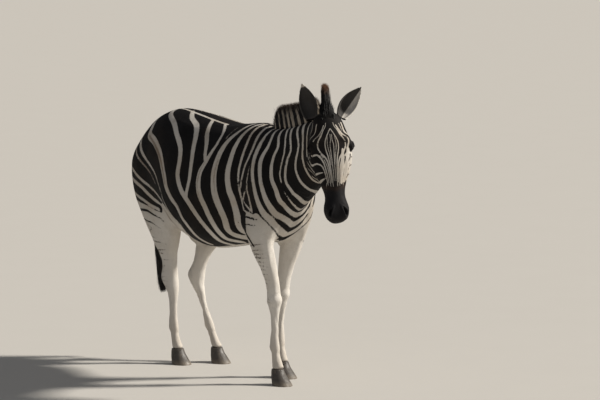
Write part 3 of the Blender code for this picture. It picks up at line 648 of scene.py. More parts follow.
paintedSunlitCheek = [  # painted sunlight: paler strokes on the left cheek only, with grey marks among them
    ("white", [(.050, -.048, .186), (.047, -.048, .230), (.041, -.046, .285), (.034, -.042, .348)],
     (6, 11, 6)),
    ("white", [(.076, -.036, .186), (.072, -.034, .240), (.063, -.032, .290), (.050, -.032, .338)],
     (9, 16, 9)),
    ("white", [(.078, -.045, .130), (.084, -.043, .148), (.080, -.048, .180), (.077, -.042, .208)],
     (3, 4.4, 8)),
    ("white", [(.062, -.036, .052), (.070, -.036, .074), (.079, -.032, .096), (.090, -.018, .114)],
     (4.2, 5, 4.5)),
    ("white", [(.032, -.056, .064), (.042, -.055, .084), (.056, -.052, .104), (.072, -.047, .122)],
     (3.2, 4.6, 3.6)),
    ("white", [(.048, -.046, .052), (.056, -.046, .074), (.067, -.044, .096)], (1.4, 2.4, 1.6)),
    ("white", [(.092, -.014, .206), (.091, -.004, .250), (.081, -.004, .296), (.064, -.002, .335)],
     (12, 20, 19, 11)),
    ("faint", [(.093, -.006, .218), (.088, -.022, .222), (.080, -.032, .234), (.078, -.034, .246)],
     (3, 4, 3, 1.4)),
    ("faint", [(.092, .004, .256), (.086, -.014, .262), (.077, -.024, .274), (.074, -.027, .286)],
     (3, 4, 3, 1.4)),
    ("faint", [(.082, .008, .300), (.074, -.010, .306), (.065, -.021, .317), (.061, -.025, .327)],
     (3, 4, 3, 1.4)),
]


def onSkin(points):
    return np.array([skinTree.find_nearest(Vector(p))[0] for p in points])


def seated(points, sign, place=None):
    # the places as points of the skin on one side
    rows = []
    for point in points:
        if place is not None:
            x, y, drop = point
            rows.append(outside(place, [(sign * x, y, -drop)])[0])
        elif len(point) == 3:
            rows.append(np.array((sign * point[0], point[1], point[2])))
        else:
            start = Vector((sign * 1.0, point[0], point[1]))
            hit = skinTree.ray_cast(start, Vector((-sign, 0, 0)))[0]
            rows.append(np.array(hit if hit is not None else (sign * .02, point[0], point[1])))
    return rows


def layStroke(kind, points, halves, sign, place=None, gap=.003):
    line = onSkin(strand(seated(points, sign, place), gap))
    share = np.linspace(0, 1, len(line))
    radius = np.interp(share, np.linspace(0, 1, len(halves)), halves) / 1000
    return kind, line, radius


def layBoth(strokes, place=None, gap=.003):
    return [layStroke(kind, points, halves, sign, place, gap)
            for kind, points, halves in strokes for sign in (-1, 1)]


# the heights of the first band and the last, and their number; a ring and its rise shrink down the leg
bandPlan = {"fore": (.685, .425, 14), "hind": (.57, .33, 11), "ring": (.088, .042), "rise": (.026, .040),
            "half": (.0034, .0056), "narrowing": .45}
tailPlan = {"count": 13, "top": 1.17, "gap": .031, "ring": .036, "back": .86, "dip": .010,
            "half": .0062, "growth": .0006}


def legBands():
    # thin marks across the outer and rear side of each leg, rising to the front at the top
    draws = np.random.default_rng(5)
    bands = []
    for name, (heights, rows, held) in middles.items():
        sign = -1 if name.endswith("right") else 1
        top, end, count = bandPlan[name[:4]]
        for index in range(count):
            share = index / (count - 1)
            z = top + (end - top) * share + draws.uniform(-.004, .004)
            x, y = np.interp(z, heights, rows[:, 0]), np.interp(z, heights, rows[:, 1])
            start = radians(draws.uniform(84, 104))  # 0 is the outer side, 90 the rear
            stop = start - radians(draws.uniform(112, 152) + 14 * share)
            rise, wide = [bandPlan[key][0] - bandPlan[key][1] * share for key in ("rise", "ring")]
            ring = [(x + sign * wide * cos(a), y + wide * sin(a), z + rise * k / 4)
                    for k, a in enumerate(np.linspace(start, stop, 5))]
            line = onSkin(strand(ring, .004))
            width = draws.uniform(*bandPlan["half"]) * (1.15 - bandPlan["narrowing"] * share)
            radius = width * np.interp(np.linspace(0, 1, len(line)), (0, .2, .7, 1), (.8, 1, .8, .2))
            bands.append(("faint", line, radius))
    return bands


def tailBands():
    bands = []
    wide = tailPlan["ring"]
    for index in range(tailPlan["count"]):
        z = tailPlan["top"] - index * tailPlan["gap"]
        back = tailPlan["back"] - .02 * (tailPlan["top"] - z)
        ring = [(wide * sin(a), back + wide * cos(a), z - tailPlan["dip"] * abs(sin(a / 2)))
                for a in np.linspace(-2.3, 2.3, 9)]
        line = onSkin(strand(ring, .004))
        bands.append(("tail", line, np.full(len(line), tailPlan["half"] + tailPlan["growth"] * index)))
    return bands


ground = ("ground", None, None)  # the pale legs are laid here
paint = layBoth(bodyStrokes) + [ground] + layBoth(legGround, gap=.012) + layBoth(groundOver)
paint += layBoth(faceStrokes, headPlace, .0018)
# painted sunlight, on the left cheek only
paint += [layStroke(kind, points, halves, 1, headPlace, .0018) for kind, points, halves in paintedSunlitCheek]
paint += tailBands() + legBands() + layBoth(shadowStrokes)
print("zebra: markings laid,", len(paint), "strokes")


def apart(points, line, radius):
    # for each point, how far it lies inside the stroke's edge, in metres
    best = np.full(len(points), -1.0)
    for start in range(0, len(points), 20000):
        part = points[start:start + 20000]
        square = (part ** 2).sum(1)[:, None] + (line ** 2).sum(1)[None, :] - 2 * part @ line.T
        best[start:start + 20000] = (radius[None, :] - np.sqrt(np.maximum(square, 0))).max(1)
    return best


def markings(points, normals):
    # white: how far inside a white stripe; faint, shade: the same for thin leg marks and shadow stripes,
    # painted shade among them;
    # dark: 1 on bare dark skin and in the ears' hollows, partly painted shade there, and below 0 on pale ear
    # hair and the left ear's painted sunlight
    area = regions(points)
    y, z = points[:, 1], points[:, 2]
    white = np.full(len(points), -.03)
    fields = {"faint": np.full(len(points), -.03), "shade": np.full(len(points), -.03)}
    behind = (y > .20) & (np.abs(points[:, 0]) > .012)
    thigh = np.where(behind, np.minimum(np.interp(y, *hindGround) - z, y - .22), -.03)
    low = np.maximum(thigh, np.where(area["legs"] > .3, .69 - z, -.03))
    for kind, line, radius in paint:
        if kind == "ground":
            white = np.maximum(white, np.clip(low, -.03, .03))
            continue
        reach = radius.max() + .034
        boxed = (points > line.min(0) - reach) & (points < line.max(0) + reach)
        near = np.flatnonzero(np.all(boxed, axis=1))
        if not len(near):
            continue
        share = apart(points[near], line, radius)
        if kind == "white":
            white[near] = np.maximum(white[near], share)
        elif kind == "black":
            white[near] = np.minimum(white[near], -share)
        elif kind == "tail":
            there = (area["tail"][near] > .5) & (np.abs(points[near, 0]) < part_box("tail")[1].x + .003)
            white[near] = np.where(there, np.maximum(white[near], share), white[near])
        else:
            fields[kind][near] = np.maximum(fields[kind][near], share)
    own = area["own"]
    # the muzzle is black to above the nostrils, and brown along its border
    muzzle = -own[:, 2] - .388 + .35 * np.abs(own[:, 0]) - .10 * np.clip(own[:, 1], 0, 1)
    muzzle = np.where(area["head"] > .5, muzzle, -.1)
    dark = ease(-.026, .016, muzzle)
    fields["shade"] = np.maximum(fields["shade"], .014 - np.abs(muzzle + .004))
    for side, sign in signs.items():
        local = inside(earPlace[side], points)
        facing = (normals @ np.array(earPlace[side])[:3, :3])[:, 1]
        rise = local[:, 2] / earPlan["length"]
        mine = (area["ears"] > .05) & (np.sign(own[:, 0]) == sign)
        # behind: a pale foot, a broad black band and a pale tip; within: dark, partly dark hair and partly
        # painted shade in the hollow
        back = np.maximum((.30 - rise) * .06, (rise - .78) * .09)
        up = np.clip(rise, 0, 1)
        half = .035 * (.62 + .60 * np.sin(pi * up ** .85)) * (1 - up ** 5) + .004
        edge = sign * local[:, 0] / half
        # painted sunlight: the left ear's outer part is bright as if lit, and the right ear has only a pale
        # edge
        within = (edge - .28) * .03 if side == "left" else np.maximum((edge - .94) * .03, (rise - .90) * .08)
        inner = mine & (facing < -.05)
        outer = mine & ~inner
        white = np.where(outer, back, np.where(inner, .01, white))
        # the hollow dark, partly painted shade, and below 0 on the pale edge and the left ear's painted
        # sunlight
        hollow = .90 * ease(.0015, -.0015, within) * ease(-.02, .10, rise) - (within > .0015)
        dark = np.where(inner, hollow, np.where(outer, 0, dark))
    return {"white": white, "faint": fields["faint"], "shade": fields["shade"], "dark": dark}


def putValues(mesh, values):
    for name, value in values.items():
        layer = mesh.attributes.new(name, "FLOAT", "POINT")
        layer.data.foreach_set("value", np.asarray(value, np.float32))


skinMarks = markings(places, outward(skin.data))
skinMarks["dark"] = np.maximum(skinMarks["dark"], lidShade)
putValues(skin.data, skinMarks)
print("zebra: skin marked")


# materials
class Wire:
    # a socket that takes part in sums
    def __init__(self, bench, socket):
        self.bench, self.socket = bench, socket

    def sum(self, operation, *others, flip=False, clamp=False):
        values = [self, *others]
        if flip:
            values = values[::-1]
        return self.bench.node("ShaderNodeMath", {"operation": operation, "use_clamp": clamp},
                               dict(enumerate(values)))

    def __add__(self, other):
        return self.sum("ADD", other)

    def __sub__(self, other):
        return self.sum("SUBTRACT", other)

    def __rsub__(self, other):
        return self.sum("SUBTRACT", other, flip=True)

    def __mul__(self, other):
        return self.sum("MULTIPLY", other)

    def __truediv__(self, other):
        return self.sum("DIVIDE", other)

    __radd__ = __add__
    __rmul__ = __mul__

    def held(self):
        return self.sum("ADD", 0.0, clamp=True)

    def raised(self, power):
        return self.sum("POWER", power)


class Bench:
    # one material and the nodes laid out in it
    def __init__(self, name, **fixed):
        self.material = bpy.data.materials.new(name)
        self.material.use_nodes = True
        self.tree = self.material.node_tree
        self.shader = self.tree.nodes["Principled BSDF"]
        for socket, value in fixed.items():
            self.shader.inputs[socket.replace("_", " ")].default_value = value

    def node(self, kind, settings=None, inputs=None, output=0):
        made = self.tree.nodes.new(kind)
        for name, value in (settings or {}).items():
            setattr(made, name, value)
        for name, value in (inputs or {}).items():
            self.fill(made.inputs[name], value)
        return Wire(self, made.outputs[output])

    def fill(self, socket, value):
        if isinstance(value, Wire):
            self.tree.links.new(value.socket, socket)
        elif socket.type == "RGBA" and len(value) == 3:
            socket.default_value = (*value, 1)
        else:
            socket.default_value = value

    def value(self, name):
        return self.node("ShaderNodeAttribute", {"attribute_name": name}, output="Fac")

    def place(self, scale=(1, 1, 1), move=(0, 0, 0), turn=(0, 0, 0)):
        own = self.node("ShaderNodeTexCoord", output="Object")
        return self.node("ShaderNodeMapping", inputs={"Vector": own, "Scale": scale, "Location": move,
                                                      "Rotation": turn})

    def noise(self, vector, scale, detail=3.0, rough=.55):
        return self.node("ShaderNodeTexNoise", inputs={"Vector": vector, "Scale": scale, "Detail": detail,
                                                       "Roughness": rough}, output="Fac")

    def span(self, value, low, high, toLow=0.0, toHigh=1.0):
        limits = {"From Min": low, "From Max": high, "To Min": toLow, "To Max": toHigh}
        return self.node("ShaderNodeMapRange", {"interpolation_type": "SMOOTHSTEP"},
                         {"Value": value, **limits})

    def mix(self, share, first, second, how="MIX"):
        return self.node("ShaderNodeMix", {"data_type": "RGBA", "blend_type": how},
                         {0: share, 6: first, 7: second}, output=2)

    def toned(self, colour, tone):
        # the colour made lighter or darker, 1 leaving it as it is
        grey = self.node("ShaderNodeCombineColor", inputs={0: tone, 1: tone, 2: tone})
        return self.mix(1.0, colour, grey, "MULTIPLY")

    def finish(self, height=None, strength=.3, distance=.001, **varying):
        if height is not None:
            varying["Normal"] = self.node("ShaderNodeBump", {}, {"Strength": strength, "Distance": distance,
                                                                 "Height": height})
        for socket, wire in varying.items():
            self.fill(self.shader.inputs[socket.replace("_", " ")], wire)
        return self.material


coatTone = {
    # the body's white: partly a real cream, partly painted shade over the trunk
    "white": (.62, .585, .535), "cream": (.42, .372, .312), "body": (.47, .440, .400),
    # pale ear hair, and painted sunlight on the left ear
    "bright": (.86, .83, .78), "black": (.0048, .0042, .0044), "blackWarm": (.012, .0085, .0068),
    "shade": (.125, .080, .052),
    "faint": (.11, .090, .078), "dust": (.36, .30, .235), "muzzle": (.0080, .0075, .0085),
    "brown": (.030, .018, .012), "softBlack": .0012}


def coatMaterial(name, tufts=False):
    bench = Bench(name, Specular_IOR_Level=.12)
    here = bench.place()
    jag = bench.noise(here, 260, 2) - .5
    broad = bench.noise(here, 7.5, 4, .6)
    grain = bench.noise(here, 900, 2, .6)
    inWhite = bench.span(bench.value("white") + jag * .0016, -coatTone["softBlack"], coatTone["softBlack"])
    inShade = bench.span(bench.value("shade") + jag * .006, -.004, .004)
    inFaint = bench.span(bench.value("faint") + jag * .0012, -.0014, .0014)
    height = bench.node("ShaderNodeSeparateXYZ", inputs={0: here}, output=2)
    # the white is darker and warmer over the trunk than on the legs and head, partly real cream and partly
    # painted shade; warmer and duller in broad patches, and dusty towards the feet
    pale = bench.mix(bench.span(height, .70, .86) * bench.span(height, 1.24, 1.10, .45, 1),
                     coatTone["white"], coatTone["body"])
    patches = bench.span(broad, .38, .68) * bench.span(height, .50, .95, .25, 1.0)
    pale = bench.mix(patches, pale, coatTone["cream"])
    pale = bench.mix(bench.span(height, .40, .08, 0, .40), pale, coatTone["dust"])
    pale = bench.mix(inShade * .72, pale, coatTone["shade"])
    pale = bench.mix(inFaint * bench.span(height, .34, .56, .30, .90), pale, coatTone["faint"])
    inky = bench.mix(bench.span(broad, .45, .75), coatTone["black"], coatTone["blackWarm"])
    colour = bench.mix(inWhite, inky, pale)
    dark = bench.value("dark")
    # pale ear hair, and painted sunlight over the left ear's outer part
    colour = bench.mix((0 - dark) * inWhite, colour, coatTone["bright"])
    # brown where the black of the muzzle begins
    colour = bench.mix(dark * (1 - dark) * 3.2, colour, coatTone["brown"])
    colour = bench.mix(dark.held(), colour, coatTone["muzzle"])
    if tufts:
        colour = bench.toned(colour, bench.value("tone"))
        return bench.finish(Base_Color=colour, Roughness=bench.span(grain, .3, .7, .58, .76))
    colour = bench.toned(colour, bench.span(grain, .25, .75, .80, 1.12))
    # lying hair: fine streaks that run back over the body and down the legs
    streaks = bench.noise(bench.place((1, .14, .30)), 1500, 3, .6)
    leather = bench.noise(here, 420, 3, .6)
    pile = streaks * (1 - dark) + leather * dark
    return bench.finish(pile, .35, .0010, Base_Color=colour,
                        Roughness=bench.span(grain, .3, .7, .58, .78))


skin.data.materials.clear()
skin.data.materials.append(coatMaterial("coat_skin"))
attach(skin, "root")
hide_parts(*fleshNodes)


# the coat: closed slivers rooted in the skin, each carrying the marking of its root
def skinMap():
    # an unwrap of the skin's own shape, on a light copy of it
    light = bpy.data.objects.new("light", skin.data.copy())
    bpy.context.scene.collection.objects.link(light)
    fewer = light.modifiers.new("fewer", "DECIMATE")
    fewer.ratio = 9000 / triangleCount(skin)
    settled(light)
    bpy.ops.object.select_all(action="DESELECT")
    light.select_set(True)
    bpy.context.view_layer.objects.active = light
    bpy.ops.object.mode_set(mode="EDIT")
    bpy.ops.mesh.select_all(action="SELECT")
    bpy.ops.uv.smart_project(angle_limit=radians(66), island_margin=.008)
    bpy.ops.object.mode_set(mode="OBJECT")
    mesh = light.data
    flat = np.empty(len(mesh.loops) * 2, np.float32)
    mesh.uv_layers.active.data.foreach_get("uv", flat)
    corners = np.empty(len(mesh.polygons) * 3, np.int32)
    mesh.polygons.foreach_get("vertices", corners)
    held = {"places": spots(mesh), "corners": corners.reshape(-1, 3),
            "flat": flat.reshape(-1, 3, 2).astype(float)}
    held["tree"] = BVHTree.FromPolygons([Vector(p) for p in held["places"]],
                                        [tuple(c) for c in held["corners"]])
    bpy.data.objects.remove(light)
    return held


def shares(point, a, b, c):
    # how much of each corner of a triangle a point holds
    ab, ac, ap = b - a, c - a, point - a
    dab, dac = (ab * ab).sum(1), (ac * ac).sum(1)
    cross, pab, pac = (ab * ac).sum(1), (ap * ab).sum(1), (ap * ac).sum(1)
    under = np.maximum(dab * dac - cross ** 2, 1e-18)
    v = np.clip((dac * pab - cross * pac) / under, 0, 1)
    w = np.clip((dab * pac - cross * pab) / under, 0, 1)
    over = np.maximum(v + w, 1)
    v, w = v / over, w / over
    return np.stack([1 - v - w, v, w], 1)


def mapped(held, points):
    faces = np.array([held["tree"].find_nearest(Vector(p))[2] for p in points])
    a, b, c = (held["places"][held["corners"][faces, k]] for k in range(3))
    part = shares(points, a, b, c)
    return (held["flat"][faces] * part[:, :, None]).sum(1)


def sliverMesh(name, roots, ahead, out, length, width, lift, values, flat, bend=None, rings=1):
    # each sliver is a flat three-sided spike: a ring of three at each level and a point at the tip
    count = len(roots)
    across = unit(np.cross(ahead, out))
    out = unit(np.cross(across, ahead))
    thick = width * (.22 if rings == 1 else .30)
    levels = []
    for level in range(rings):
        t = level / rings
        half = width * (1 - t * .55) / 2
        middle = roots + ahead * (length * t)[:, None] + out * (lift * (t * (2 - t)))[:, None]
        if bend is not None:
            middle = middle + bend * (t * t)
        levels += [middle - across * half[:, None], middle + across * half[:, None],
                   middle + out * (thick * (1 - t * .5))[:, None]]
    tip = roots + ahead * length[:, None] + out * lift[:, None]
    if bend is not None:
        tip = tip + bend
    levels.append(tip)
    per = rings * 3 + 1
    verts = np.stack(levels, 1).reshape(-1, 3)
    faces = [(0, 1, 2)]
    for level in range(rings - 1):
        base = level * 3
        for k, m in ((0, 1), (1, 2), (2, 0)):
            faces += [(base + k, base + m + 3, base + m), (base + k, base + k + 3, base + m + 3)]
    base = (rings - 1) * 3
    faces += [(base, per - 1, base + 1), (base + 1, per - 1, base + 2), (base + 2, per - 1, base)]
    every = (np.array(faces)[None, :, :] + (np.arange(count) * per)[:, None, None]).reshape(-1, 3)
    mesh = bpy.data.meshes.new(name)
    mesh.vertices.add(len(verts))
    mesh.vertices.foreach_set("co", verts.astype(np.float32).ravel())
    mesh.loops.add(len(every) * 3)
    mesh.loops.foreach_set("vertex_index", every.astype(np.int32).ravel())
    mesh.polygons.add(len(every))
    mesh.polygons.foreach_set("loop_start", np.arange(0, len(every) * 3, 3, dtype=np.int32))
    mesh.update(calc_edges=True)
    mesh.validate()
    # along each sliver, from 0 at the root to 1 at the tip
    along = np.repeat(np.append(np.repeat(np.arange(rings) / rings, 3), 1.0)[None, :], count, 0).ravel()
    side = np.tile(np.append(np.tile((-.5, .5, 0), rings), 0.0), count)
    values = {key: np.repeat(value, per) for key, value in values.items()}
    values["along"] = along
    putValues(mesh, values)
    uv = np.repeat(flat, per, 0) + np.stack([side * .003, (along - .5) * .003], 1)
    layer = mesh.uv_layers.new(name="OFBake")
    layer.data.foreach_set("uv", uv[every.ravel()].astype(np.float32).ravel())
    mesh.shade_smooth()
    if rings == 1:
        # a lying tuft takes the light as the skin under it does
        soft = np.stack([out - across * .30, out + across * .30, out, out + ahead * .12], 1).reshape(-1, 3)
        mesh.normals_split_custom_set_from_vertices(unit(soft).tolist())
    piece = bpy.data.objects.new(name, mesh)
    bpy.context.scene.collection.objects.link(piece)
    return piece


lie = {"trunk": (0, .90, -.44), "neck": (0, .80, -.60), "legs": (0, .10, -1), "tail": (0, .02, -1)}
coatPlan = {  # a tuft's size in millimetres, how much of the depth it uses, and how close the tufts grow
    "length": {"trunk": 9.5, "neck": 8.5, "legs": 7, "tail": 10, "head": 4.0, "ears": 6},
    "width": {"trunk": 2.6, "neck": 2.3, "legs": 2.0, "tail": 2.0, "head": 1.1, "ears": 1.2},
    "lift": {"trunk": .75, "neck": .75, "legs": .60, "tail": .9, "head": .70, "ears": .9},
    "share": {"trunk": 1.00, "neck": 1.30, "legs": 1.5, "tail": 1.6, "head": 4.8, "ears": 3.6},
    "count": 324000, "perPiece": 190000, "bareBelow": .44, "bareEye": .0235, "bareShare": .12, "foot": .070,
    "splay": .13, "unlike": .055}


def lieOf(points, normals, area):
    flow = np.repeat(np.array([lie["trunk"]], float), len(points), 0)
    # over the back the hair runs straight back, and down the rump it turns down
    flow[:, 2] -= ease(.55, .78, points[:, 1]) * 1.1
    for name in ("neck", "legs", "tail"):
        flow = flow * (1 - area[name])[:, None] + np.array(lie[name]) * area[name][:, None]
    down = np.array(headTurn)[:3, :3] @ np.array((0, .30, -1))
    sideways = np.array(headTurn)[:3, :3] @ np.array((1, 0, 0))
    face = down + sideways * np.clip(area["own"][:, :1] / .09, -1, 1) * .35
    flow = flow * (1 - area["head"])[:, None] + face * area["head"][:, None]
    for side, sign in signs.items():
        up = np.array(earPlace[side])[:3, 2]
        mine = area["ears"] * (np.sign(area["own"][:, 0]) == sign)
        flow = flow * (1 - mine)[:, None] + up * mine[:, None]
    flow -= normals * (flow * normals).sum(1)[:, None]
    return unit(flow)


def coatRoots(count):
    corners = np.empty(len(skin.data.polygons) * 3, np.int32)
    skin.data.polygons.foreach_get("vertices", corners)
    corners = corners.reshape(-1, 3)
    a, b, c = (places[corners[:, k]] for k in range(3))
    size = np.linalg.norm(np.cross(b - a, c - a), axis=1) / 2
    middle = (a + b + c) / 3
    area = regions(middle)
    bare = (area["head"] > .5) & (-area["own"][:, 2] > coatPlan["bareBelow"])  # the muzzle has hardly any
    for side in signs:
        bare |= np.linalg.norm(middle - np.array(eyeSpot[side]), axis=1) < coatPlan["bareEye"]
    size = size * byArea(area, coatPlan["share"]) * np.where(bare, coatPlan["bareShare"], 1)
    size = size * (middle[:, 2] > coatPlan["foot"])
    summed = np.cumsum(size)
    picks = (np.arange(count) + chance.random(count)) / count * summed[-1]
    faces = np.minimum(np.searchsorted(summed, picks), len(size) - 1)
    u, v = chance.random(count), chance.random(count)
    over = u + v > 1
    u[over], v[over] = 1 - u[over], 1 - v[over]
    part = np.stack([1 - u - v, u, v], 1)
    normals = outward(skin.data)
    roots = (places[corners[faces]] * part[:, :, None]).sum(1)
    return roots, unit((normals[corners[faces]] * part[:, :, None]).sum(1))


def makeCoat(held, material):
    count = coatPlan["count"]
    roots, normals = coatRoots(count)
    area = regions(roots)
    ahead = lieOf(roots, normals, area)
    across = np.cross(ahead, normals)
    ahead = unit(ahead + across * chance.normal(0, coatPlan["splay"], count)[:, None])
    # towards the end of the nose the tufts grow shorter and thinner
    muzzle = ease(.36, .46, -area["own"][:, 2]) * area["head"]
    length = byArea(area, coatPlan["length"]) / 1000 * chance.uniform(.72, 1.22, count) * (1 - .55 * muzzle)
    width = byArea(area, coatPlan["width"]) / 1000 * chance.uniform(.8, 1.25, count) * (1 - .35 * muzzle)
    depth = byArea(area, skinPlan["depth"])
    lift = depth * byArea(area, coatPlan["lift"]) * chance.uniform(.40, .80, count)
    marks = markings(roots + ahead * (length * .45)[:, None], normals)
    marks["tone"] = chance.normal(1, coatPlan["unlike"], count).clip(.82, 1.18)
    flat = mapped(held, roots)
    # by place, so that each piece is one patch of the body
    order = np.lexsort((roots[:, 2], roots[:, 1]))
    parts = int(np.ceil(count * 4 / coatPlan["perPiece"]))  # four triangles in a tuft
    pieces = []
    for index, rows in enumerate(np.array_split(order, parts)):
        values = {key: value[rows] for key, value in marks.items()}
        seats = roots[rows] - normals[rows] * .0006
        piece = sliverMesh(f"coat_{index + 1}", seats, ahead[rows], normals[rows], length[rows], width[rows],
                           lift[rows], values, flat[rows])
        piece.data.materials.append(material)
        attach(piece, "root")
        pieces.append(piece)
    return pieces


held = skinMap()
print("zebra: skin unwrapped,", len(held["corners"]), "faces")
hairCoat = coatMaterial("coat_hair", tufts=True)
coat = makeCoat(held, hairCoat)
print("zebra: coat laid,", len(coat), "pieces")


# long hair, with a colour of its own towards the tip
def maneMaterial(name, tip, tipFrom, tipTo):
    bench = Bench(name, Specular_IOR_Level=.28)
    here = bench.place()
    along, tone = bench.value("along") * bench.value("reach"), bench.value("tone")
    inWhite = bench.span(bench.value("white"), -.0012, .0012)
    pale = bench.mix(bench.noise(here, 60, 2), coatTone["cream"], coatTone["dust"])
    colour = bench.mix(inWhite, coatTone["black"], pale)
    colour = bench.mix(bench.span(along + (bench.noise(here, 45, 2) - .5) * .3, tipFrom, tipTo), colour, tip)
    sheen = bench.span(bench.noise(here, 700, 2), .3, .7, .42, .66)
    return bench.finish(Base_Color=bench.toned(colour, tone), Roughness=sheen)


hairTip = {"mane": (.030, .016, .010), "forelock": (.075, .034, .016), "tail": (.010, .008, .008)}
manePlan = {
    "count": 7200, "rows": 34, "ends": (.006, .010), "width": (.0026, .0042), "short": .22, "tips": .004,
    "lean": (.20, .045), "close": .075, "splay": .035, "curl": .004,
    "backs": (.249, .40, .50, .60, .69), "middles": (-.003, -.0135, -.0195, -.0285, -.0415),
    "heights": (.128, .134, .136, .118, .075, .030)}


def crestLine():
    # the row of the crest under the mane: places on the skin, and the height of the hair there
    low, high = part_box("mane")
    rows = []
    for y in np.linspace(high.y - manePlan["ends"][0], low.y + manePlan["ends"][1], manePlan["rows"]):
        x = np.interp(-y, manePlan["backs"], manePlan["middles"])
        ground = skinTree.ray_cast(Vector((x, y, 1.60)), Vector((0, 0, -1)))[0]
        along = [low.y, low.y + .03, -.33, -.29, -.262, high.y]
        rows.append((x, y, ground.z, np.interp(y, along, manePlan["heights"])))
    return np.array(rows)


def makeMane(held, material):
    crest = crestLine()
    count = manePlan["count"]
    t = chance.random(count) * (len(crest) - 1)
    row = np.stack([np.interp(t, np.arange(len(crest)), crest[:, k]) for k in range(4)], 1)
    step = np.gradient(crest[:, :3], axis=0)
    ahead = unit(np.stack([np.interp(t, np.arange(len(crest)), step[:, k]) for k in range(3)], 1))
    side = unit(np.cross(ahead, (0, 0, 1)))
    up = unit(np.cross(side, ahead))
    narrow = np.interp(row[:, 1], [-.70, -.60, -.30], [.011, .017, .019])
    across = chance.uniform(-1, 1, count)
    roots = row[:, :3] + side * (across * narrow)[:, None]
    roots = onSkin(roots)
    # the hair stands up, leans a little back and closes in towards the top
    lean = -ahead * chance.normal(*manePlan["lean"], count)[:, None]
    lean = lean - side * (across * manePlan["close"])[:, None]
    way = unit(up + lean + side * chance.normal(0, manePlan["splay"], count)[:, None])
    length = (row[:, 3] - manePlan["tips"]) * chance.uniform(.80, 1.0, count)
    short = chance.random(count) < manePlan["short"]
    length[short] *= chance.uniform(.35, .8, short.sum())
    width = chance.uniform(*manePlan["width"], count)
    marks = markings(row[:, :3] + side * .004, up)
    values = {"white": marks["white"], "tone": chance.normal(1, .10, count).clip(.7, 1.3),
              "reach": length / row[:, 3]}
    curl = manePlan["curl"]
    bend = side * chance.normal(0, curl, count)[:, None] + ahead * chance.normal(0, curl, count)[:, None]
    out = unit(side * np.sign(across)[:, None] + .01)
    piece = sliverMesh("mane_hair", roots - way * .003, way, out, length, width, np.full(count, .001), values,
                       mapped(held, roots), bend, 4)
    piece.data.materials.append(material)
    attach(piece, "root")
    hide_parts("mane")


forelockPlan = {"count": 3800, "seat": (.0120, .017), "back": -.012, "fringe": .34,
                "width": (.0015, .0026), "rise": (.05, .12, 1), "close": -.060, "open": .02, "tips": .006}


def makeForelock(held, material):
    count = forelockPlan["count"]
    spread = chance.normal(0, 1, (count, 2)).clip(-2, 2)
    fringe = chance.random(count) < forelockPlan["fringe"]
    # the outer hairs are short and lean away, and so widen the foot
    spread[fringe, 0] = chance.uniform(-2.6, 2.6, fringe.sum())
    wide, deep = forelockPlan["seat"]
    seat = np.stack([spread[:, 0] * wide, forelockPlan["back"] + spread[:, 1] * deep, np.full(count, .02)], 1)
    turn = np.array(headTurn)[:3, :3]
    down, side, fore = turn @ (0, 0, -1), turn @ (1, 0, 0), turn @ (0, -1, 0)
    roots = []
    for p in outside(headPlace, seat):
        hit = skinTree.ray_cast(Vector(p - down * .20), Vector(down))[0]
        roots.append(hit if hit is not None else skinTree.find_nearest(Vector(p))[0])
    roots = np.array(roots)
    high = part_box("forelock")[1]
    up = turn @ np.array(forelockPlan["rise"])
    close = np.where(fringe, forelockPlan["open"], forelockPlan["close"])[:, None]
    way = unit(up + side * (spread[:, :1] * close + chance.normal(0, .030, (count, 1)))
               + fore * (-spread[:, 1:] * .012 + chance.normal(0, .035, (count, 1))))
    reach = (high.z - forelockPlan["tips"] - roots[:, 2]) / np.maximum(way[:, 2], .3)
    shorter = chance.uniform(.16, .60, count) * (1.2 - .3 * np.abs(spread[:, 0]))
    length = reach * np.where(fringe, shorter, chance.uniform(.70, 1.0, count))
    values = {"white": np.full(count, -.03), "tone": chance.normal(1, .14, count).clip(.6, 1.4),
              "reach": length / reach}
    bend = side * chance.normal(0, .004, (count, 1)) + fore * chance.normal(0, .005, (count, 1))
    width = chance.uniform(*forelockPlan["width"], count)
    piece = sliverMesh("forelock_hair", roots - way * .003, way, unit(np.cross(way, side)), length, width,
                       np.full(count, .001), values, mapped(held, roots), bend, 3)
    piece.data.materials.append(material)
    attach(piece, "root")
    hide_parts("forelock")


tuftPlan = {
    "count": 3600, "top": .850, "drop": .30, "heights": (.86, .80, .66, .50, .34), "band": .07, "tips": .006,
    "reach": (.20, .46), "ring": ((.55, .80, .85), (.016, .014, .015)), "width": (.0028, .0046),
    "swing": ((.33, .42, .60, .80), (.5, 1.35, 1.75, 1.15)), "curl": .005, "pale": (.66, .84, .45)}


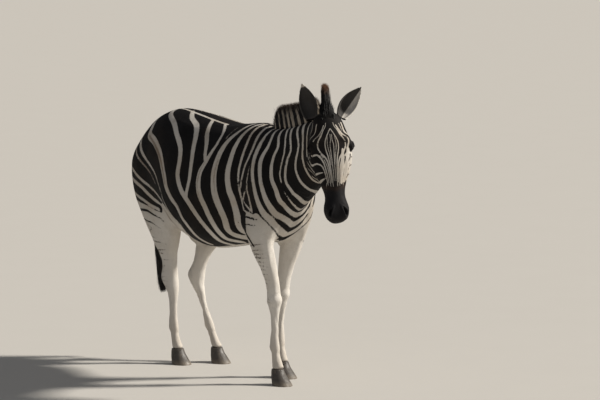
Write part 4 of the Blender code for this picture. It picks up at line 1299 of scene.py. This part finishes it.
def makeTailTuft(held, material):
    low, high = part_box("tail_tuft")
    count = tuftPlan["count"]
    solid = spots(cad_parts["tail_tuft"].data)
    heights = np.array(tuftPlan["heights"])
    middles = []  # how far back the middle of the solid lies at each height
    for z in heights:
        band = solid[np.abs(solid[:, 2] - min(z, high.z)) < tuftPlan["band"]][:, 1]
        middles.append(np.mean([band.min(), band.max()]))
    start = chance.uniform(0, 1, count) ** 1.3
    z0 = tuftPlan["top"] - start * tuftPlan["drop"]
    angle = chance.uniform(0, 2 * pi, count)
    ring = np.interp(z0, *tuftPlan["ring"]) * np.sqrt(chance.random(count)) ** .5
    y0 = np.interp(z0, heights[::-1], middles[::-1])
    roots = np.stack([ring * np.cos(angle), y0 + ring * np.sin(angle), z0], 1)
    full = (z0 - low.z - tuftPlan["tips"]) * chance.uniform(.74, 1, count) ** .6
    z1 = z0 - np.minimum(full, chance.uniform(*tuftPlan["reach"], count))
    y1 = np.interp(z1, heights[::-1], middles[::-1])
    swing = np.interp(z1, *tuftPlan["swing"])
    tips = np.stack([ring * np.cos(angle) * swing, y1 + ring * np.sin(angle) * swing, z1], 1)
    way = tips - roots
    length = np.linalg.norm(way, axis=1)
    way = unit(way)
    out = unit(np.stack([np.cos(angle), np.sin(angle), np.zeros(count)], 1))
    curl = tuftPlan["curl"]
    bend = np.stack([chance.normal(0, curl, count), chance.normal(0, curl, count), np.zeros(count)], 1)
    paleLow, paleHigh, most = tuftPlan["pale"]  # some pale hair among the dark near the top
    white = np.where(chance.random(count) < ease(paleLow, paleHigh, z0) * most, .01, -.03)
    values = {"white": white, "tone": chance.normal(1, .15, count).clip(.6, 1.4), "reach": np.ones(count)}
    width = chance.uniform(*tuftPlan["width"], count)
    piece = sliverMesh("tail_hair", roots, way, out, length, width, np.full(count, .004), values,
                       mapped(held, roots), bend, 5)
    piece.data.materials.append(material)
    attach(piece, "root")
    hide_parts("tail_tuft")


makeMane(held, maneMaterial("mane_strands", hairTip["mane"], .48, .90))
foreHair = maneMaterial("forelock_strands", hairTip["forelock"], .55, .95)
makeForelock(held, foreHair)
makeTailTuft(held, maneMaterial("tail_strands", hairTip["tail"], .5, 1.0))
print("zebra: mane, forelock and tail made")


# the eyes: a ball with a clear bulge in front, the iris and a long level pupil drawn within
eyePlan = {"radius": .0200, "bulge": .0016, "bulgeFrom": .62, "inset": .02,
           "pupil": (.0072, .0034), "iris": (.0115, .0135)}


def eyeMaterial(side, along, up, out):
    bench = Bench("eye_" + side + "_glass", Roughness=.10, IOR=1.36, Specular_IOR_Level=.30)
    spot = eyeSpot[side]
    own = bench.node("ShaderNodeTexCoord", output="Object")
    q = bench.node("ShaderNodeVectorMath", {"operation": "SUBTRACT"}, {0: own, 1: spot})

    u, w, h = [bench.node("ShaderNodeVectorMath", {"operation": "DOT_PRODUCT"}, {0: q, 1: axis},
                          output="Value") for axis in (along, up, out)]
    long, tall = u / eyePlan["pupil"][0], w / eyePlan["pupil"][1]
    pupilFar = (long * long + tall * tall).raised(.5)
    irisFar = (u * u + w * w).raised(.5)
    rays = bench.noise(bench.place(), 900, 3)
    colour = bench.mix(rays, (.0045, .0026, .0016), (.016, .008, .004))
    colour = bench.mix(bench.span(irisFar, *eyePlan["iris"]), colour, (.006, .005, .0045))
    colour = bench.mix(bench.span(pupilFar, 1.10, .88), colour, (.0015, .0015, .0022))
    return bench.finish(rays, .04, .0003, Base_Color=colour, Roughness=bench.span(h, .010, .017, .60, .07))


def makeEye(side):
    out, along, up = eyeAxes(side)
    radius = eyePlan["radius"]
    bm = bmesh.new()
    bmesh.ops.create_uvsphere(bm, u_segments=40, v_segments=24, radius=radius)
    for v in bm.verts:
        share = max(0.0, (v.co.z / radius - eyePlan["bulgeFrom"]) / (1 - eyePlan["bulgeFrom"]))
        v.co *= 1 + eyePlan["bulge"] / radius * (share * share * (3 - 2 * share)) - eyePlan["inset"]
    facing = Vector((0, 0, 1)).rotation_difference(Vector(out)).to_matrix().to_4x4()
    bmesh.ops.transform(bm, matrix=Matrix.Translation(eyeSpot[side]) @ facing, verts=bm.verts)
    piece = pieceFrom(bm, "eyeball_" + side)
    piece.data.shade_smooth()
    piece.data.materials.append(eyeMaterial(side, along, up, out))
    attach(piece, "root")
    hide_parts("eye_" + side)


for side in signs:
    makeEye(side)


lashPlan = {"count": 90, "length": (.008, .016), "width": .0009, "above": .0012, "off": .0022}


def makeLashes(held, material):
    # dark hairs along the edge of each upper lid, outwards, their tips a little down
    roots, ways, bends = [], [], []
    for side in signs:
        out, along, up = eyeAxes(side)
        for share in np.linspace(-.86, .86, lashPlan["count"]):
            u = share * eyeLook["half"]
            w = eyeLook["upper"] * (1 - share * share) + lashPlan["above"]
            high = sqrt(max((headPlan["eyeRadius"] + lashPlan["off"]) ** 2 - u * u - w * w, 1e-6))
            roots.append(np.array(eyeSpot[side]) + along * u + up * w + out * high)
            rise = chance.uniform(-.05, .35)
            ways.append(unit(out + up * rise + along * (share * .7 + chance.normal(0, .12))))
            bends.append(-up * .003)
    roots, ways, bends = np.array(roots), np.array(ways), np.array(bends)
    count = len(roots)
    values = {"white": np.full(count, -.03), "tone": np.ones(count), "reach": np.zeros(count)}
    aside = unit(np.cross(ways, bends))
    piece = sliverMesh("lashes", roots - ways * .002, ways, unit(np.cross(aside, ways)),
                       chance.uniform(*lashPlan["length"], count), np.full(count, lashPlan["width"]),
                       np.full(count, .0004), values, mapped(held, roots), bends, 2)
    piece.data.materials.append(material)
    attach(piece, "root")


makeLashes(held, foreHair)


# the hooves: the wall with its growth rings, a rounded lower edge and the coronet band above
hoofPlan = {"foot": (.080, .094), "coronet": .0045, "dome": .012, "slope": 1.5,
            "ring": .0072, "depth": .00035, "heel": .016, "cleft": (.006, .006), "sharp": (50, 48)}


def hoofMaterial():
    bench = Bench("hoof_horn", Specular_IOR_Level=.45)
    here = bench.place()
    height = bench.node("ShaderNodeSeparateXYZ", inputs={0: here}, output=2)
    wobble = bench.noise(here, 30, 2)
    waves = (height + wobble * .006) * (2 * pi / .0052)
    rings = bench.node("ShaderNodeMath", {"operation": "SINE"}, {0: waves})
    fibres = bench.noise(bench.place((1, 1, .06)), 900, 3)
    colour = bench.mix(fibres, (.030, .026, .023), (.085, .072, .060))
    colour = bench.mix(bench.span(height, .030, .0, 0, .65), colour, (.20, .165, .125))
    colour = bench.mix(bench.span(bench.noise(here, 55, 4), .52, .75, 0, .5), colour, (.15, .12, .09))
    return bench.finish(rings * .5 + fibres, .5, .0008, Base_Color=colour,
                        Roughness=bench.span(wobble, .3, .7, .38, .66))


def makeHoof(node, material):
    bm = mergedCopy(node)
    creased(bm, radians(hoofPlan["sharp"][0]))
    bm.normal_update()
    piece = pieceFrom(bm, node.replace("hoof", "horn"))
    curve = piece.modifiers.new("round", "SUBSURF")
    curve.levels = curve.render_levels = 2
    settled(piece)
    spot, way = spots(piece.data), outward(piece.data)
    side = np.abs(way[:, 2]) < .8
    # the wall slopes in from the sole to the foot of the pastern, and the top domes into it
    low, high = spot.min(0), spot.max(0)
    foot = np.all((places[:, :2] > low[:2] - .01) & (places[:, :2] < high[:2] + .01), axis=1)
    foot &= (places[:, 2] > hoofPlan["foot"][0]) & (places[:, 2] < hoofPlan["foot"][1])
    ends = places[foot][:, :2].min(0), places[foot][:, :2].max(0)
    centre, half = (ends[0] + ends[1]) / 2, (ends[1] - ends[0]) / 2 + hoofPlan["coronet"]
    away = spot[:, :2] - centre
    share = np.sqrt(((away / half) ** 2).sum(1))
    rise = np.clip(spot[:, 2] / high[2], 0, 1)
    slope = rise ** hoofPlan["slope"]
    spot[:, :2] = centre + away * (1 - slope + slope * np.minimum(1, 1 / np.maximum(share, .01)))[:, None]
    spot[:, 2] += hoofPlan["dome"] * ease(.9, 1, rise) * np.clip(1 - np.minimum(share, 1) ** 2, 0, 1)
    z = spot[:, 2]
    rings = np.sin(z * 2 * pi / hoofPlan["ring"]) * hoofPlan["depth"]
    rings = rings * ease(.004, .012, z) * ease(.074, .066, z)
    heel = spot[:, 1] > (spot[:, 1].max() - hoofPlan["heel"])
    wide, deep = hoofPlan["cleft"]
    cleft = heel * bump(spot[:, 0], np.mean([spot[:, 0].min(), spot[:, 0].max()]), wide)
    spot = spot + way * (side * (rings - hoofPlan["depth"]) - side * cleft * deep)[:, None]
    spot[:, 2] = np.maximum(spot[:, 2], 0)
    putSpots(piece.data, spot)
    piece.data.shade_smooth()
    piece.data.set_sharp_from_angle(angle=radians(hoofPlan["sharp"][1]))
    piece.data.materials.clear()
    piece.data.materials.append(material)
    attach(piece, "root")
    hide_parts(node)


horn = hoofMaterial()
for pair in ("fore", "hind"):
    for side in signs:
        makeHoof(f"hoof_{pair}_{side}", horn)
print("zebra: eyes and hooves made")


# the room: a flat pale floor, a soft sun from the animal's left and front, and a faint fill from its right
roomPlan = {
    "aim": (0, .2562, .75), "azimuth": -36, "distance": 16.0, "height": 2.6, "lens": 186.5,
    "asideShare": .026246, "aboveShare": .007720,
    "sun": {"source": (.86, -.54, .76), "strength": 5.5, "spread": 6, "tint": (1.0, .95, .87)},
    "fill": {"spot": (-7.5, -7.0, 5.0), "aim": (0, 0, .8), "size": 6.0, "power": 80, "tint": (.92, .95, 1.0)},
    "sky": (.90, .92, .96, 1), "skyStrength": .22, "floor": ((.480, .460, .428), (.486, .466, .434))}


def makeCamera():
    data = bpy.data.cameras.new("camera")
    data.lens = roomPlan["lens"]
    data.sensor_width = 36
    data.clip_end = 200
    camera = bpy.data.objects.new("camera", data)
    bpy.context.scene.collection.objects.link(camera)
    aim = Vector(roomPlan["aim"])
    turn = radians(roomPlan["azimuth"])
    start = Vector((aim.x + roomPlan["distance"] * sin(turn), aim.y - roomPlan["distance"] * cos(turn),
                    roomPlan["height"]))
    look = aim - start
    ahead = look.normalized()
    right = ahead.cross(Vector((0, 0, 1))).normalized()
    up = right.cross(ahead)
    target = aim + (right * roomPlan["asideShare"] + up * roomPlan["aboveShare"]) * look.length
    camera.location = start
    camera.rotation_euler = (target - start).to_track_quat("-Z", "Y").to_euler()
    bpy.context.scene.camera = camera


def makeLight(name, spot, aim, size, power, tint):
    data = bpy.data.lights.new(name, "AREA")
    data.shape = "DISK"
    data.size = size
    data.energy = power
    data.color = tint
    light = bpy.data.objects.new(name, data)
    bpy.context.scene.collection.objects.link(light)
    light.location = spot
    light.rotation_euler = (Vector(aim) - Vector(spot)).to_track_quat("-Z", "Y").to_euler()


def makeSun(name, source, strength, spread, tint):
    data = bpy.data.lights.new(name, "SUN")
    data.energy = strength
    data.angle = radians(spread)
    data.color = tint
    sun = bpy.data.objects.new(name, data)
    bpy.context.scene.collection.objects.link(sun)
    sun.rotation_euler = (-Vector(source)).to_track_quat("-Z", "Y").to_euler()


def makeFloor():
    bm = bmesh.new()
    bmesh.ops.create_grid(bm, x_segments=2, y_segments=2, size=150)
    floor = pieceFrom(bm, "floor")
    bench = Bench("floor_paint", Roughness=.85)
    mottle = bench.noise(bench.place(), 3, 4)
    colour = bench.mix(bench.span(mottle, .2, .8), *roomPlan["floor"])
    floor.data.materials.append(bench.finish(Base_Color=colour))


makeCamera()
makeFloor()
makeSun("key", **roomPlan["sun"])
makeLight("fill", **roomPlan["fill"])
world = bpy.data.worlds.new("room")
world.use_nodes = True
sky = world.node_tree.nodes["Background"]
sky.inputs["Color"].default_value = roomPlan["sky"]
sky.inputs["Strength"].default_value = roomPlan["skyStrength"]
bpy.context.scene.world = world
bpy.context.scene.view_settings.view_transform = "Standard"

print("zebra: finished")
